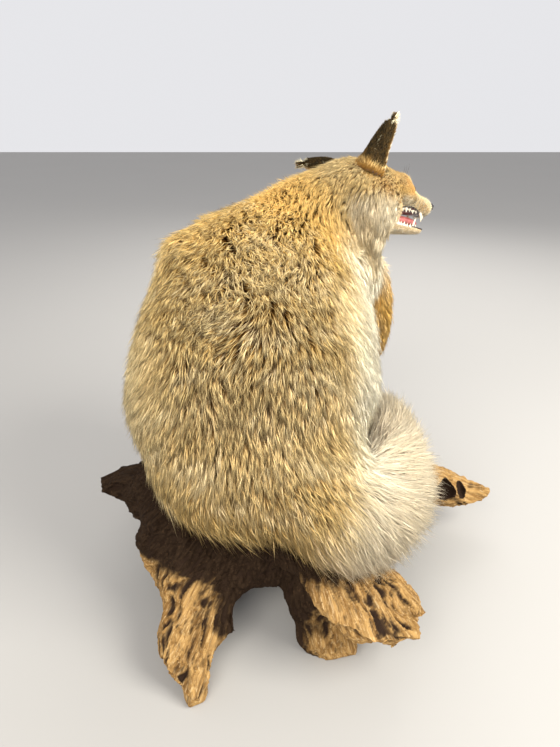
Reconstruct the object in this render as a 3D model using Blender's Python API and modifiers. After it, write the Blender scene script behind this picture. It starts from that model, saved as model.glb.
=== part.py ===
"""A mounted red fox, sitting hunched on a piece of driftwood, its head turned to the right in a snarl.

Metres, +Z up. The fox faces +Y, and +X is its right. Each flesh solid is the outside of the coat, out to
its tips. The fox is modelled whole, as overlapping limbs in the pose that a voxel remesh fuses, and is then
parted by thin cuts where a person would name its parts. The last step puts the origin at the bottom centre.
"""

import math

import bmesh
import bpy
from mathutils import Matrix, Vector, noise

# Driving dimensions
GAP = 0.0004  # between solids that touch
CUT = 0.0005  # width of the cuts that part the body
FOX_VOXEL, TAIL_VOXEL, WOOD_VOXEL = 0.0030, 0.0050, 0.0055
FOX_TRIANGLES, TAIL_TRIANGLES, WOOD_TRIANGLES = 1530, 250, 1080  # budgets before the cuts add their own
SEAT_Z = 0.165  # height of the driftwood's seat
LUMPS, GRAIN = 22, Vector((90, 30, 60))  # lumps and grooves of the wood per metre
LUMP_HEIGHT, GROOVE_DEPTH = 0.010, 0.006
MIDLINE_X, SHOULDERS_X = -0.030, 0.004  # the fox leans to its right

# The head's own frame: +Y along the muzzle, +X to the fox's right, the origin midway between the ears
HEAD_CENTRE = Vector((0.112, 0.068, 0.499))
HEAD_YAW, HEAD_PITCH, HEAD_ROLL = math.radians(-58), math.radians(-12), math.radians(-13)
HEAD_SIZE = 0.96
GAPE = math.radians(4.5)  # how far the lower jaw is open
JAW_PIVOT = Vector((0.0, 0.006, -0.022))
EAR_LENGTH, EAR_WIDTH, EAR_THICKNESS = 0.0765, 0.047, 0.004
EYE_RADIUS = 0.0088
EYE_PLACE = Vector((0.0270, 0.0550, 0.0080))
NOSE_PLACE = Vector((0.0, 0.1265, -0.0055))

HEAD_FRAME = (
    Matrix.Translation(HEAD_CENTRE)
    @ Matrix.Rotation(HEAD_YAW, 4, "Z")
    @ Matrix.Rotation(HEAD_PITCH, 4, "X")
    @ Matrix.Rotation(HEAD_ROLL, 4, "Y")
    @ Matrix.Scale(HEAD_SIZE, 4)
)
JAW_FRAME = (
    HEAD_FRAME
    @ Matrix.Translation(JAW_PIVOT)
    @ Matrix.Rotation(-GAPE, 4, "X")
    @ Matrix.Translation(-JAW_PIVOT)
)
X_AXIS, Y_AXIS, Z_AXIS = Vector((1, 0, 0)), Vector((0, 1, 0)), Vector((0, 0, 1))
SIDES = (("left", -1), ("right", 1))

for old in list(bpy.data.objects):
    bpy.data.objects.remove(old, do_unlink=True)

parts = bpy.data.collections.new("mounted_fox")
cutters = bpy.data.collections.new("cutters")
bpy.context.scene.collection.children.link(parts)
bpy.context.scene.collection.children.link(cutters)


# Materials


def material(name, colour, roughness):
    made = bpy.data.materials.new(name)
    made.use_nodes = True
    shader = made.node_tree.nodes["Principled BSDF"]
    shader.inputs["Base Color"].default_value = (*colour, 1.0)
    shader.inputs["Roughness"].default_value = roughness
    made.diffuse_color = (*colour, 1.0)
    return made


COAT = material("coat", (0.52, 0.36, 0.17), 0.9)
EAR_BACK = material("ear_back", (0.06, 0.03, 0.015), 0.9)
TAIL_COAT = material("tail_coat", (0.66, 0.53, 0.32), 0.9)
WOOD = material("wood", (0.36, 0.22, 0.11), 0.85)
GLASS_EYE = material("glass_eye", (0.22, 0.09, 0.02), 0.05)
LEATHER_NOSE = material("leather_nose", (0.015, 0.012, 0.012), 0.45)
TONGUE_PINK = material("tongue_pink", (0.55, 0.16, 0.14), 0.35)


# Tools


def add_object(name, mesh, look, collection=parts):
    made = bpy.data.objects.new(name, mesh)
    mesh.materials.clear()
    mesh.materials.append(look)
    collection.objects.link(made)
    return made


def mesh_of(build):
    """A mesh made by the function build, which fills the bmesh that it is given."""
    shape = bmesh.new()
    build(shape)
    bmesh.ops.recalc_face_normals(shape, faces=shape.faces)
    mesh = bpy.data.meshes.new("shape")
    shape.to_mesh(mesh)
    shape.free()
    return mesh


def evaluated_copy(source):
    """The object's mesh with its modifiers applied."""
    graph = bpy.context.evaluated_depsgraph_get()
    return bpy.data.meshes.new_from_object(source.evaluated_get(graph))


def catmull(stations, steps):
    """Tuples of numbers along a smooth path through the stations."""
    ends = [stations[0], *stations, stations[-1]]
    path = []
    for a, b, c, d in zip(ends, ends[1:], ends[2:], ends[3:]):
        for step in range(steps):
            t = step / steps
            path.append(tuple(
                0.5 * (2 * q + (r - p) * t + (2 * p - 5 * q + 4 * r - s) * t * t
                       + (3 * q - p - 3 * r + s) * t ** 3)
                for p, q, r, s in zip(a, b, c, d)
            ))
    path.append(stations[-1])
    return path


def limb(stations, frame=Matrix(), up=Z_AXIS, around=20, steps=4, swell=0.0, caps=(80, 55, 28)):
    """A closed, round-ended tube. A station is x, y, z, half width and half height."""
    path = catmull([(*place, width + swell, height + swell) for *place, width, height in stations], steps)
    centres = [Vector(station[:3]) for station in path]

    def build(shape):
        rings = []

        def add_ring(index, along, shrink):
            before, after = centres[max(index - 1, 0)], centres[min(index + 1, len(path) - 1)]
            tangent = (after - before).normalized()
            side = tangent.cross(up).normalized()
            upward = side.cross(tangent)
            width, height = path[index][3] * shrink, path[index][4] * shrink
            middle = centres[index] + tangent * along
            rings.append([
                shape.verts.new(frame @ (
                    middle + side * width * math.cos(turn) + upward * height * math.sin(turn)
                ))
                for turn in (2 * math.pi * k / around for k in range(around))
            ])

        def cap_radius(index):
            return min(path[index][3], path[index][4])

        for turn in caps:
            angle = math.radians(turn)
            add_ring(0, -cap_radius(0) * math.sin(angle), math.cos(angle))
        for index in range(len(path)):
            add_ring(index, 0.0, 1.0)
        for turn in reversed(caps):
            angle = math.radians(turn)
            add_ring(len(path) - 1, cap_radius(len(path) - 1) * math.sin(angle), math.cos(angle))
        for first, second in zip(rings, rings[1:]):
            for k in range(around):
                shape.faces.new((first[k], first[(k + 1) % around], second[(k + 1) % around], second[k]))
        shape.faces.new(list(reversed(rings[0])))
        shape.faces.new(rings[-1])

    return mesh_of(build)


def ball(centre, radii, frame=Matrix(), turn=Matrix(), segments=20, rings=12):
    """An ellipsoid."""
    def build(shape):
        bmesh.ops.create_uvsphere(shape, u_segments=segments, v_segments=rings, radius=1.0)
        place = frame @ Matrix.Translation(centre) @ turn @ Matrix.Diagonal((*radii, 1.0))
        bmesh.ops.transform(shape, matrix=place, verts=shape.verts)
    return mesh_of(build)


def block(centre, sides, frame=Matrix(), turn=Matrix()):
    """A box."""
    def build(shape):
        bmesh.ops.create_cube(shape, size=1.0)
        place = frame @ Matrix.Translation(centre) @ turn @ Matrix.Diagonal((*sides, 1.0))
        bmesh.ops.transform(shape, matrix=place, verts=shape.verts)
    return mesh_of(build)


def spike(base, tip, radius, frame=Matrix(), sides=4):
    """A cone from a base point to a tip, for a tooth or a claw."""
    start, end = Vector(base), Vector(tip)
    along = end - start

    def build(shape):
        bmesh.ops.create_cone(
            shape, cap_ends=True, cap_tris=False, segments=sides,
            radius1=radius, radius2=radius * 0.22, depth=along.length,
        )
        turn = along.to_track_quat("Z", "Y").to_matrix().to_4x4()
        place = frame @ Matrix.Translation((start + end) / 2) @ turn
        bmesh.ops.transform(shape, matrix=place, verts=shape.verts)

    return mesh_of(build)


def joined(meshes):
    """One mesh that holds all of the meshes, still as separate bodies."""
    shape = bmesh.new()
    for mesh in meshes:
        shape.from_mesh(mesh)
    mesh = bpy.data.meshes.new("joined")
    shape.to_mesh(mesh)
    shape.free()
    return mesh


def with_modifiers(mesh, settings):
    """The mesh after a list of modifiers, each a type and its settings."""
    holder = bpy.data.objects.new("holder", mesh)
    cutters.objects.link(holder)
    for kind, values in settings:
        modifier = holder.modifiers.new(kind.lower(), kind)
        for key, value in values.items():
            setattr(modifier, key, value)
    result = evaluated_copy(holder)
    bpy.data.objects.remove(holder, do_unlink=True)
    return result


def melted(meshes, voxel, smoothing):
    """The meshes melted into one skin."""
    return with_modifiers(joined(meshes), [
        ("REMESH", {"mode": "VOXEL", "voxel_size": voxel}),
        ("SMOOTH", {"factor": 0.5, "iterations": smoothing}),
    ])


def thinned(mesh, triangles):
    """The mesh with about this number of triangles."""
    return with_modifiers(mesh, [("DECIMATE", {"ratio": triangles / (2 * len(mesh.polygons))})])


def grown(mesh, distance):
    """The mesh with its surface moved outward by a distance."""
    shape = bmesh.new()
    shape.from_mesh(mesh)
    shape.normal_update()
    moves = [vertex.normal * distance for vertex in shape.verts]
    for vertex, move in zip(shape.verts, moves):
        vertex.co += move
    mesh = bpy.data.meshes.new("grown")
    shape.to_mesh(mesh)
    shape.free()
    return mesh


def hull(mesh):
    """The convex hull of a mesh."""
    def build(shape):
        shape.from_mesh(mesh)
        found = bmesh.ops.convex_hull(shape, input=shape.verts)
        bmesh.ops.delete(shape, geom=found["geom_interior"] + found["geom_unused"], context="VERTS")
        bmesh.ops.delete(shape, geom=[f for f in shape.faces if f not in set(found["geom"])], context="FACES")
    return mesh_of(build)


def boolean(mesh, cutter, operation, solver="MANIFOLD"):
    """The union, difference or intersection of two closed meshes.

    The MANIFOLD solver copes with the slightly folded faces that thinning leaves on the face and paws,
    where the EXACT solver gives back an empty mesh.
    """
    target = bpy.data.objects.new("target", mesh.copy())
    tool = bpy.data.objects.new("tool", cutter.copy())
    cutters.objects.link(target)
    cutters.objects.link(tool)
    change = target.modifiers.new("change", "BOOLEAN")
    change.operation = operation
    change.object = tool
    change.solver = solver
    result = evaluated_copy(target)
    bpy.data.objects.remove(target, do_unlink=True)
    bpy.data.objects.remove(tool, do_unlink=True)
    return largest_body(result)


def largest_body(mesh):
    """The mesh without the crumbs that a cut can leave beside its main body."""
    shape = bmesh.new()
    shape.from_mesh(mesh)
    left, bodies = set(shape.verts), []
    while left:
        queue = [left.pop()]
        body = set(queue)
        while queue:
            for edge in queue.pop().link_edges:
                for vertex in edge.verts:
                    if vertex not in body:
                        body.add(vertex)
                        queue.append(vertex)
        left -= body
        bodies.append(body)
    keep = max(bodies, key=len)
    bmesh.ops.delete(shape, geom=[v for v in shape.verts if v not in keep], context="VERTS")
    result = bpy.data.meshes.new("body")
    shape.to_mesh(result)
    shape.free()
    return result


# The fox's shape


def trunk_shapes():
    """Haunches, back, rib cage, shoulder blades and chest along the spine, and the high left shoulder."""
    x = MIDLINE_X
    spine = limb([
        (x + 0.004, -0.150, 0.224, 0.122, 0.086),
        (x - 0.002, -0.108, 0.270, 0.155, 0.115),
        (x - 0.001, -0.062, 0.326, 0.153, 0.120),
        (x + 0.007, -0.014, 0.366, 0.144, 0.118),
        (x + 0.024, 0.034, 0.392, 0.124, 0.110),
        (x + 0.042, 0.082, 0.398, 0.096, 0.098),
    ], around=32)
    rump = ball((x + 0.002, -0.130, 0.222), (0.138, 0.106, 0.100))
    belly = ball((x + 0.008, -0.010, 0.280), (0.110, 0.130, 0.105))
    chest = ball((x + 0.046, 0.090, 0.372), (0.082, 0.072, 0.105))
    blades = [
        ball((x + 0.028 + side * 0.072, 0.026, 0.404), (0.066, 0.078, 0.078))
        for name, side in SIDES
    ]
    hunch = ball((x - 0.0725, -0.015, 0.420), (0.055, 0.060, 0.052))
    return [spine, rump, belly, chest, *blades, hunch]


def neck_shapes():
    """The neck, from the shoulders up to the turned head, with the long coat of the throat."""
    neck = limb([
        (0.006, 0.034, 0.414, 0.092, 0.088),
        (0.032, 0.056, 0.444, 0.080, 0.078),
        (0.064, 0.064, 0.470, 0.066, 0.066),
        (0.092, 0.070, 0.488, 0.054, 0.056),
    ], around=24)
    throat = limb([
        (0.040, 0.110, 0.384, 0.064, 0.062),
        (0.064, 0.108, 0.424, 0.060, 0.058),
        (0.094, 0.096, 0.456, 0.048, 0.050),
    ], up=Y_AXIS, around=20)
    return [neck, throat]


def upper_arm_stations(side):
    x = SHOULDERS_X
    return [
        (x + side * 0.074, 0.060, 0.415, 0.058, 0.060),
        (x + side * 0.106, 0.074, 0.352, 0.052, 0.052),
        (x + side * 0.122, 0.074, 0.298, 0.038, 0.040),
        (x + side * 0.120, 0.082, 0.268, 0.030, 0.032),
    ]


def forearm_stations(side):
    x = SHOULDERS_X
    return [
        (x + side * 0.118, 0.080, 0.276, 0.028, 0.030),
        (x + side * 0.106, 0.104, 0.244, 0.023, 0.025),
        (x + side * 0.092, 0.122, 0.212, 0.020, 0.022),
        (x + side * 0.084, 0.132, SEAT_Z + 0.024, 0.020, 0.021),
    ]


def thigh_stations(side):
    x = MIDLINE_X
    return [
        (x + side * 0.074, -0.092, 0.296, 0.074, 0.084),
        (x + side * 0.094, -0.048, 0.268, 0.063, 0.082),
        (x + side * 0.100, -0.004, 0.246, 0.050, 0.062),
        (x + side * 0.098, 0.022, 0.236, 0.040, 0.046),
    ]


def shank_stations(side):
    x = MIDLINE_X
    return [
        (x + side * 0.100, 0.022, 0.230, 0.036, 0.040),
        (x + side * 0.096, -0.024, 0.206, 0.034, 0.030),
        (x + side * 0.094, -0.070, SEAT_Z + 0.030, 0.028, 0.026),
    ]


def hind_foot_stations(side):
    x = MIDLINE_X
    return [
        (x + side * 0.094, -0.070, SEAT_Z + 0.024, 0.026, 0.023),
        (x + side * 0.094, -0.010, SEAT_Z + 0.019, 0.021, 0.018),
        (x + side * 0.094, 0.040, SEAT_Z + 0.017, 0.020, 0.016),
    ]


PAW_LENGTH, PAW_WIDTH, PAW_HEIGHT = 0.046, 0.036, 0.026
TOES = ((-0.0125, 0.010, -9), (-0.0045, 0.017, -3), (0.0045, 0.017, 3), (0.0125, 0.010, 9))
FORE_PAW = {
    name: (Vector((SHOULDERS_X + side * 0.084, 0.142, SEAT_Z + PAW_HEIGHT / 2)), -side * 4)
    for name, side in SIDES
}
HIND_PAW = {
    name: (Vector((MIDLINE_X + side * 0.094, 0.054, SEAT_Z + PAW_HEIGHT / 2)), -side * 6)
    for name, side in SIDES
}


def paw_frame(centre, toe_in):
    return Matrix.Translation(centre) @ Matrix.Rotation(math.radians(toe_in), 4, "Z")


def paw_shapes(centre, toe_in):
    """A paw: the pad and four toes."""
    frame = paw_frame(centre, toe_in)
    pad = ball((0, -0.002, 0), (PAW_WIDTH / 2, PAW_LENGTH * 0.42, PAW_HEIGHT / 2), frame)
    toes = [
        ball((x, y, -0.003), (0.0068, 0.0135, 0.0095), frame, Matrix.Rotation(math.radians(-turn), 4, "Z"))
        for x, y, turn in TOES
    ]
    return [pad, *toes]


def claw_shapes(centre, toe_in):
    frame = paw_frame(centre, toe_in)
    return [
        spike((x, y + 0.008, -0.002), (x, y + 0.0195, -0.0095), 0.0020, frame)
        for x, y, turn in TOES
    ]


def tail_shape():
    """The brush, from its root at the rump, round the right haunch and forward along it."""
    return limb([
        (0.000, -0.160, 0.204, 0.050, 0.052),
        (0.044, -0.176, 0.178, 0.060, 0.060),
        (0.088, -0.178, 0.162, 0.065, 0.064),
        (0.124, -0.146, 0.160, 0.064, 0.062),
        (0.146, -0.092, 0.166, 0.056, 0.056),
        (0.156, -0.038, 0.176, 0.046, 0.047),
        (0.158, 0.004, 0.188, 0.034, 0.036),
        (0.156, 0.032, 0.198, 0.018, 0.020),
    ], around=24)


def head_shapes():
    """Skull, brows, wrinkled muzzle, cheeks and the ruff at the corners of the jaw."""
    skull = limb([
        (0, -0.036, -0.004, 0.038, 0.034),
        (0, -0.014, 0.000, 0.048, 0.040),
        (0, 0.014, 0.001, 0.049, 0.038),
        (0, 0.036, 0.003, 0.041, 0.033),
        (0, 0.054, 0.002, 0.032, 0.027),
        (0, 0.072, -0.0015, 0.0255, 0.0215),
        (0, 0.094, -0.0070, 0.0190, 0.0160),
        (0, 0.114, -0.0090, 0.0155, 0.0140),
    ], HEAD_FRAME, around=24)
    shapes = [skull]
    for name, side in SIDES:
        brow = ball((side * 0.021, 0.043, 0.017), (0.015, 0.018, 0.013), HEAD_FRAME)
        fold = ball((side * 0.010, 0.068, 0.006), (0.013, 0.016, 0.012), HEAD_FRAME)
        lip = ball((side * 0.0095, 0.108, -0.014), (0.0095, 0.018, 0.0090), HEAD_FRAME)
        cheek = ball((side * 0.034, -0.002, -0.022), (0.027, 0.034, 0.034), HEAD_FRAME)
        ruff = ball((side * 0.044, -0.024, -0.038), (0.030, 0.032, 0.046), HEAD_FRAME)
        shapes += [brow, fold, lip, cheek, ruff]
    return shapes


def jaw_shape():
    """The lower jaw and chin."""
    return limb([
        (0, -0.014, -0.048, 0.034, 0.022),
        (0, 0.024, -0.0425, 0.027, 0.0135),
        (0, 0.056, -0.0390, 0.0185, 0.0088),
        (0, 0.084, -0.0365, 0.0140, 0.0066),
        (0, 0.104, -0.0340, 0.0115, 0.0058),
    ], JAW_FRAME, around=20)


def tongue_shape():
    return limb([
        (0, 0.061, -0.0264, 0.0086, 0.0032),
        (0, 0.078, -0.0256, 0.0080, 0.0040),
        (0, 0.093, -0.0252, 0.0060, 0.0034),
    ], JAW_FRAME, around=10, steps=1, caps=(60, 30))


def dental_arc(count, first, last, width_back, width_front, z_back, z_front):
    """Places along one side of a dental arch, from the cheek teeth to the front."""
    for k in range(count):
        t = k / (count - 1)
        yield (
            width_back + (width_front - width_back) * t ** 0.8,
            first + (last - first) * t,
            z_back + (z_front - z_back) * t,
        )


def upper_teeth():
    teeth = []
    for name, side in SIDES:
        for x, y, z in dental_arc(4, 0.055, 0.089, 0.0195, 0.0135, -0.0190, -0.0185):
            teeth.append(spike((side * x, y, z), (side * x, y, z - 0.0085), 0.0032, HEAD_FRAME))
        canine_base, canine_tip = (side * 0.0120, 0.101, -0.0180), (side * 0.0130, 0.102, -0.0355)
        teeth.append(spike(canine_base, canine_tip, 0.0029, HEAD_FRAME))
        for k in range(2):
            x = 0.0020 + 0.0042 * k
            teeth.append(spike((side * x, 0.113 - k * 0.0016, -0.0185),
                               (side * x, 0.114 - k * 0.0016, -0.0275), 0.0016, HEAD_FRAME))
    return teeth


def lower_teeth():
    teeth = []
    for name, side in SIDES:
        for x, y, z in dental_arc(4, 0.050, 0.083, 0.0155, 0.0110, -0.0335, -0.0325):
            teeth.append(spike((side * x, y, z), (side * x, y, z + 0.0070), 0.0028, JAW_FRAME))
        canine_base, canine_tip = (side * 0.0085, 0.093, -0.0320), (side * 0.0098, 0.095, -0.0180)
        teeth.append(spike(canine_base, canine_tip, 0.0026, JAW_FRAME))
        for k in range(2):
            x = 0.0014 + 0.0028 * k
            teeth.append(spike((side * x, 0.105 - k * 0.0014, -0.0310),
                               (side * x, 0.106 - k * 0.0014, -0.0245), 0.0014, JAW_FRAME))
    return teeth


def ear_shape(base, along, opening):
    """A cupped, pointed ear: a shell from its base on the head, with the hollow facing the opening."""
    rows, columns = 6, 4
    up = Vector(along).normalized()
    front = (Vector(opening) - up * Vector(opening).dot(up)).normalized()
    across = front.cross(up)

    def build(shape):
        grid = []
        for i in range(rows + 1):
            t = i / rows
            half = EAR_WIDTH / 2 * (1 - t ** 1.7) ** 0.75 * (0.86 + 0.5 * t * (1 - t)) + 0.0012
            row = []
            for j in range(columns + 1):
                s = 2 * j / columns - 1
                cup = 0.5 * half * (1 - s * s) + 0.004 * math.sin(math.pi * t)
                place = Vector(base) + across * half * s - front * cup + up * EAR_LENGTH * t
                row.append(shape.verts.new(HEAD_FRAME @ place))
            grid.append(row)
        for low, high in zip(grid, grid[1:]):
            for j in range(columns):
                shape.faces.new((low[j], low[j + 1], high[j + 1], high[j]))

    sheet = bpy.data.objects.new("sheet", mesh_of(build))
    cutters.objects.link(sheet)
    shell = sheet.modifiers.new("shell", "SOLIDIFY")
    shell.thickness = EAR_THICKNESS
    shell.offset = 0
    mesh = evaluated_copy(sheet)
    bpy.data.objects.remove(sheet, do_unlink=True)
    return mesh


# base on the head, direction of the tip, direction that the hollow faces
EARS = {
    "right": ((0.029, -0.0245, 0.020), (0.32, 0.235, 0.92), (-0.30, 1.0, 0.0)),
    "left": ((-0.034, -0.004, 0.022), (-0.27, -0.95, 0.16), (-1.0, 0.2, -0.6)),
}


# The driftwood


def root(stations, around=14):
    return limb(stations, around=around, up=Vector((0.31, 0.17, 0.94)))


def wood_shapes():
    """A weathered stump of spreading roots, seen as limbs that run together under the seat."""
    seat = SEAT_Z
    return [
        # the seat, a rough slab that rises to the left
        ball((-0.030, -0.040, seat - 0.045), (0.150, 0.150, 0.045)),
        ball((-0.140, -0.070, seat - 0.040), (0.080, 0.075, 0.038)),
        ball((0.080, 0.060, seat - 0.055), (0.130, 0.090, 0.045)),
        # front left root, down to its pointed foot
        root([(-0.150, -0.080, seat - 0.030, 0.062, 0.036), (-0.130, -0.140, 0.120, 0.046, 0.032),
              (-0.112, -0.190, 0.082, 0.038, 0.030), (-0.108, -0.240, 0.042, 0.038, 0.026),
              (-0.098, -0.288, 0.014, 0.020, 0.016), (-0.094, -0.306, 0.006, 0.006, 0.008)]),
        # a shoulder on the outer side of that root
        root([(-0.150, -0.110, 0.118, 0.040, 0.030), (-0.140, -0.165, 0.095, 0.034, 0.028),
              (-0.134, -0.205, 0.066, 0.026, 0.022), (-0.122, -0.240, 0.036, 0.020, 0.016)]),
        # the web between the front roots
        root([(-0.080, -0.150, 0.112, 0.030, 0.014), (-0.064, -0.196, 0.070, 0.026, 0.008),
              (-0.072, -0.236, 0.034, 0.018, 0.007)]),
        # the front wall of the stump, which closes the space between the front roots under the seat
        root([(-0.088, -0.165, 0.108, 0.016, 0.030), (-0.044, -0.188, 0.092, 0.015, 0.038),
              (0.005, -0.178, 0.098, 0.015, 0.032), (0.034, -0.158, 0.110, 0.016, 0.024)]),
        # left lump, which hangs out over the side
        root([(-0.130, -0.060, seat - 0.030, 0.040, 0.032), (-0.190, -0.066, 0.132, 0.040, 0.028),
              (-0.236, -0.070, 0.124, 0.022, 0.018)]),
        # front right shelf with ragged tips
        root([(0.010, -0.120, 0.128, 0.052, 0.032), (0.060, -0.190, 0.098, 0.062, 0.024),
              (0.100, -0.232, 0.080, 0.056, 0.019), (0.140, -0.252, 0.070, 0.030, 0.012),
              (0.160, -0.260, 0.066, 0.008, 0.006)]),
        root([(0.110, -0.190, 0.088, 0.034, 0.018), (0.150, -0.222, 0.076, 0.018, 0.012),
              (0.174, -0.232, 0.070, 0.007, 0.006)]),
        root([(0.110, -0.240, 0.074, 0.020, 0.012), (0.128, -0.262, 0.054, 0.008, 0.007),
              (0.134, -0.270, 0.036, 0.004, 0.004)]),
        # its broad foot, folded back under the shelf
        limb([(0.028, -0.146, 0.100, 0.042, 0.032), (0.044, -0.194, 0.060, 0.038, 0.028),
              (0.056, -0.220, 0.024, 0.038, 0.022), (0.060, -0.230, 0.004, 0.036, 0.020)],
             around=14, up=Vector((0.0, 1.0, 0.0))),
        # right branch, carried clear of the floor
        root([(0.080, -0.010, 0.112, 0.070, 0.036), (0.170, 0.000, 0.094, 0.072, 0.032),
              (0.228, -0.004, 0.076, 0.050, 0.028), (0.272, -0.010, 0.064, 0.032, 0.024),
              (0.306, -0.010, 0.062, 0.018, 0.017)]),
        root([(0.150, 0.040, 0.100, 0.050, 0.028), (0.206, 0.078, 0.098, 0.034, 0.018),
              (0.240, 0.094, 0.104, 0.012, 0.009)]),
        # feet at the far side
        root([(-0.110, 0.020, 0.118, 0.056, 0.036), (-0.146, 0.084, 0.070, 0.042, 0.034),
              (-0.160, 0.124, 0.026, 0.036, 0.028), (-0.166, 0.140, 0.002, 0.034, 0.022)]),
        root([(0.060, 0.090, 0.112, 0.060, 0.036), (0.110, 0.124, 0.066, 0.044, 0.034),
              (0.140, 0.140, 0.024, 0.036, 0.026), (0.152, 0.146, 0.002, 0.034, 0.022)]),
        root([(-0.020, 0.060, 0.118, 0.070, 0.032), (-0.040, 0.120, 0.120, 0.060, 0.026),
              (-0.050, 0.156, 0.122, 0.034, 0.018)]),
        root([(0.030, 0.080, 0.120, 0.070, 0.030), (0.060, 0.132, 0.126, 0.056, 0.024),
              (0.078, 0.162, 0.124, 0.030, 0.016)]),
        # a stout heart that ties the roots together
        ball((-0.020, 0.000, 0.100), (0.130, 0.110, 0.048)),
    ]


def weathered(mesh, coarse, fine):
    """The mesh with lumps and grooves pressed into it by fractal noise."""
    shape = bmesh.new()
    shape.from_mesh(mesh)
    shape.normal_update()
    for vertex in shape.verts:
        lump = noise.fractal(vertex.co * LUMPS, 1.0, 2.0, 3)
        grain = Vector((vertex.co.x * GRAIN.x, vertex.co.y * GRAIN.y, vertex.co.z * GRAIN.z))
        groove = abs(noise.fractal(grain, 1.0, 2.0, 2))
        vertex.co += vertex.normal * (coarse * lump - fine * groove)
    shape.to_mesh(mesh)
    shape.free()
    return mesh


# Building


def leg_stations(side):
    """The lengths of the legs by name, in the order in which they are parted from the body."""
    return {
        "forearm": forearm_stations(side),
        "upper_arm": upper_arm_stations(side),
        "hind_foot": hind_foot_stations(side),
        "shank": shank_stations(side),
        "thigh": thigh_stations(side),
    }


def leg_up(name):
    """The upright lengths of a leg take their height along the Y axis."""
    return Y_AXIS if name in ("forearm", "upper_arm") else Z_AXIS


def whole_fox():
    """The whole fox but its ears, eyes, nose, tongue and tail, as one mesh with a finer head."""
    shapes = [*trunk_shapes(), *neck_shapes(), *head_shapes(), jaw_shape()]
    for name, side in SIDES:
        shapes += [
            limb(stations, up=leg_up(part), around=18) for part, stations in leg_stations(side).items()
        ]
        shapes += paw_shapes(*FORE_PAW[name])
        shapes += paw_shapes(*HIND_PAW[name])
    mesh = melted(shapes, FOX_VOXEL, 2)

    holder = bpy.data.objects.new("holder", mesh)
    cutters.objects.link(holder)
    plain = holder.vertex_groups.new(name="plain")
    thinning = holder.vertex_groups.new(name="thinning")
    face, paws = HEAD_FRAME @ Vector((0, 0.035, -0.025)), [*FORE_PAW.values(), *HIND_PAW.values()]
    for vertex in mesh.vertices:
        from_face = (vertex.co - face).length / 0.105
        from_paw = min((vertex.co - centre).length for centre, turn in paws) / 0.040
        far = [min(max(reach - 0.6, 0.0) / 0.6, 1.0) for reach in (from_face, from_paw)]
        plain.add([vertex.index], min(far), "REPLACE")
        thinning.add([vertex.index], 0.62 + 0.38 * far[0], "REPLACE")
    smooth = holder.modifiers.new("smooth", "SMOOTH")
    smooth.factor = 0.5
    smooth.iterations = 22
    smooth.vertex_group = "plain"
    thin = holder.modifiers.new("thin", "DECIMATE")
    thin.ratio = FOX_TRIANGLES / (2 * len(mesh.polygons))
    thin.vertex_group = "thinning"
    thin.vertex_group_factor = 1.0
    result = evaluated_copy(holder)
    bpy.data.objects.remove(holder, do_unlink=True)
    return result


def part_off(rest, cutter):
    """The piece of the mesh inside the cutter, and the rest, with a thin cut between them."""
    piece = boolean(rest, cutter, "INTERSECT")
    return piece, boolean(rest, grown(cutter, CUT), "DIFFERENCE")


def parted_fox(fox):
    """The fox's flesh solids by name."""
    solids, rest = {}, fox
    jaw_cutter = block((0, 0.094, -0.0550), (0.090, 0.120, 0.0660), JAW_FRAME)
    solids["lower_jaw"], rest = part_off(rest, jaw_cutter)
    head_cutter = block((0, 0.056, -0.012), (0.190, 0.220, 0.136), HEAD_FRAME)
    solids["head"], rest = part_off(rest, head_cutter)
    for name, side in SIDES:
        for paw, places in (("fore_paw", FORE_PAW), ("hind_paw", HIND_PAW)):
            cutter = block((0, 0.006, 0.004), (0.054, 0.066, 0.042), paw_frame(*places[name]))
            solids[f"{paw}_{name}"], rest = part_off(rest, cutter)
        for part, stations in leg_stations(side).items():
            cutter = hull(limb(stations, up=leg_up(part), around=8, steps=1, swell=0.006, caps=(45,)))
            solids[f"{part}_{name}"], rest = part_off(rest, cutter)
    neck_cutter = ball((0.064, 0.078, 0.470), (0.098, 0.090, 0.090), segments=12, rings=7)
    solids["neck"], rest = part_off(rest, neck_cutter)
    solids["trunk"] = rest
    return solids


def parted_tail(fox):
    """The brush in three lengths, fitted to the haunch."""
    tail = thinned(melted([tail_shape()], TAIL_VOXEL, 2), TAIL_TRIANGLES)
    rest = boolean(tail, grown(fox, GAP), "DIFFERENCE")
    solids = {}
    solids["tail_base"], rest = part_off(rest, block((-0.034, -0.16, 0.18), (0.20, 0.24, 0.24)))
    solids["tail_tip"], rest = part_off(rest, block((0.15, 0.046, 0.18), (0.18, 0.20, 0.24)))
    solids["tail_middle"] = rest
    return solids


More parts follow.
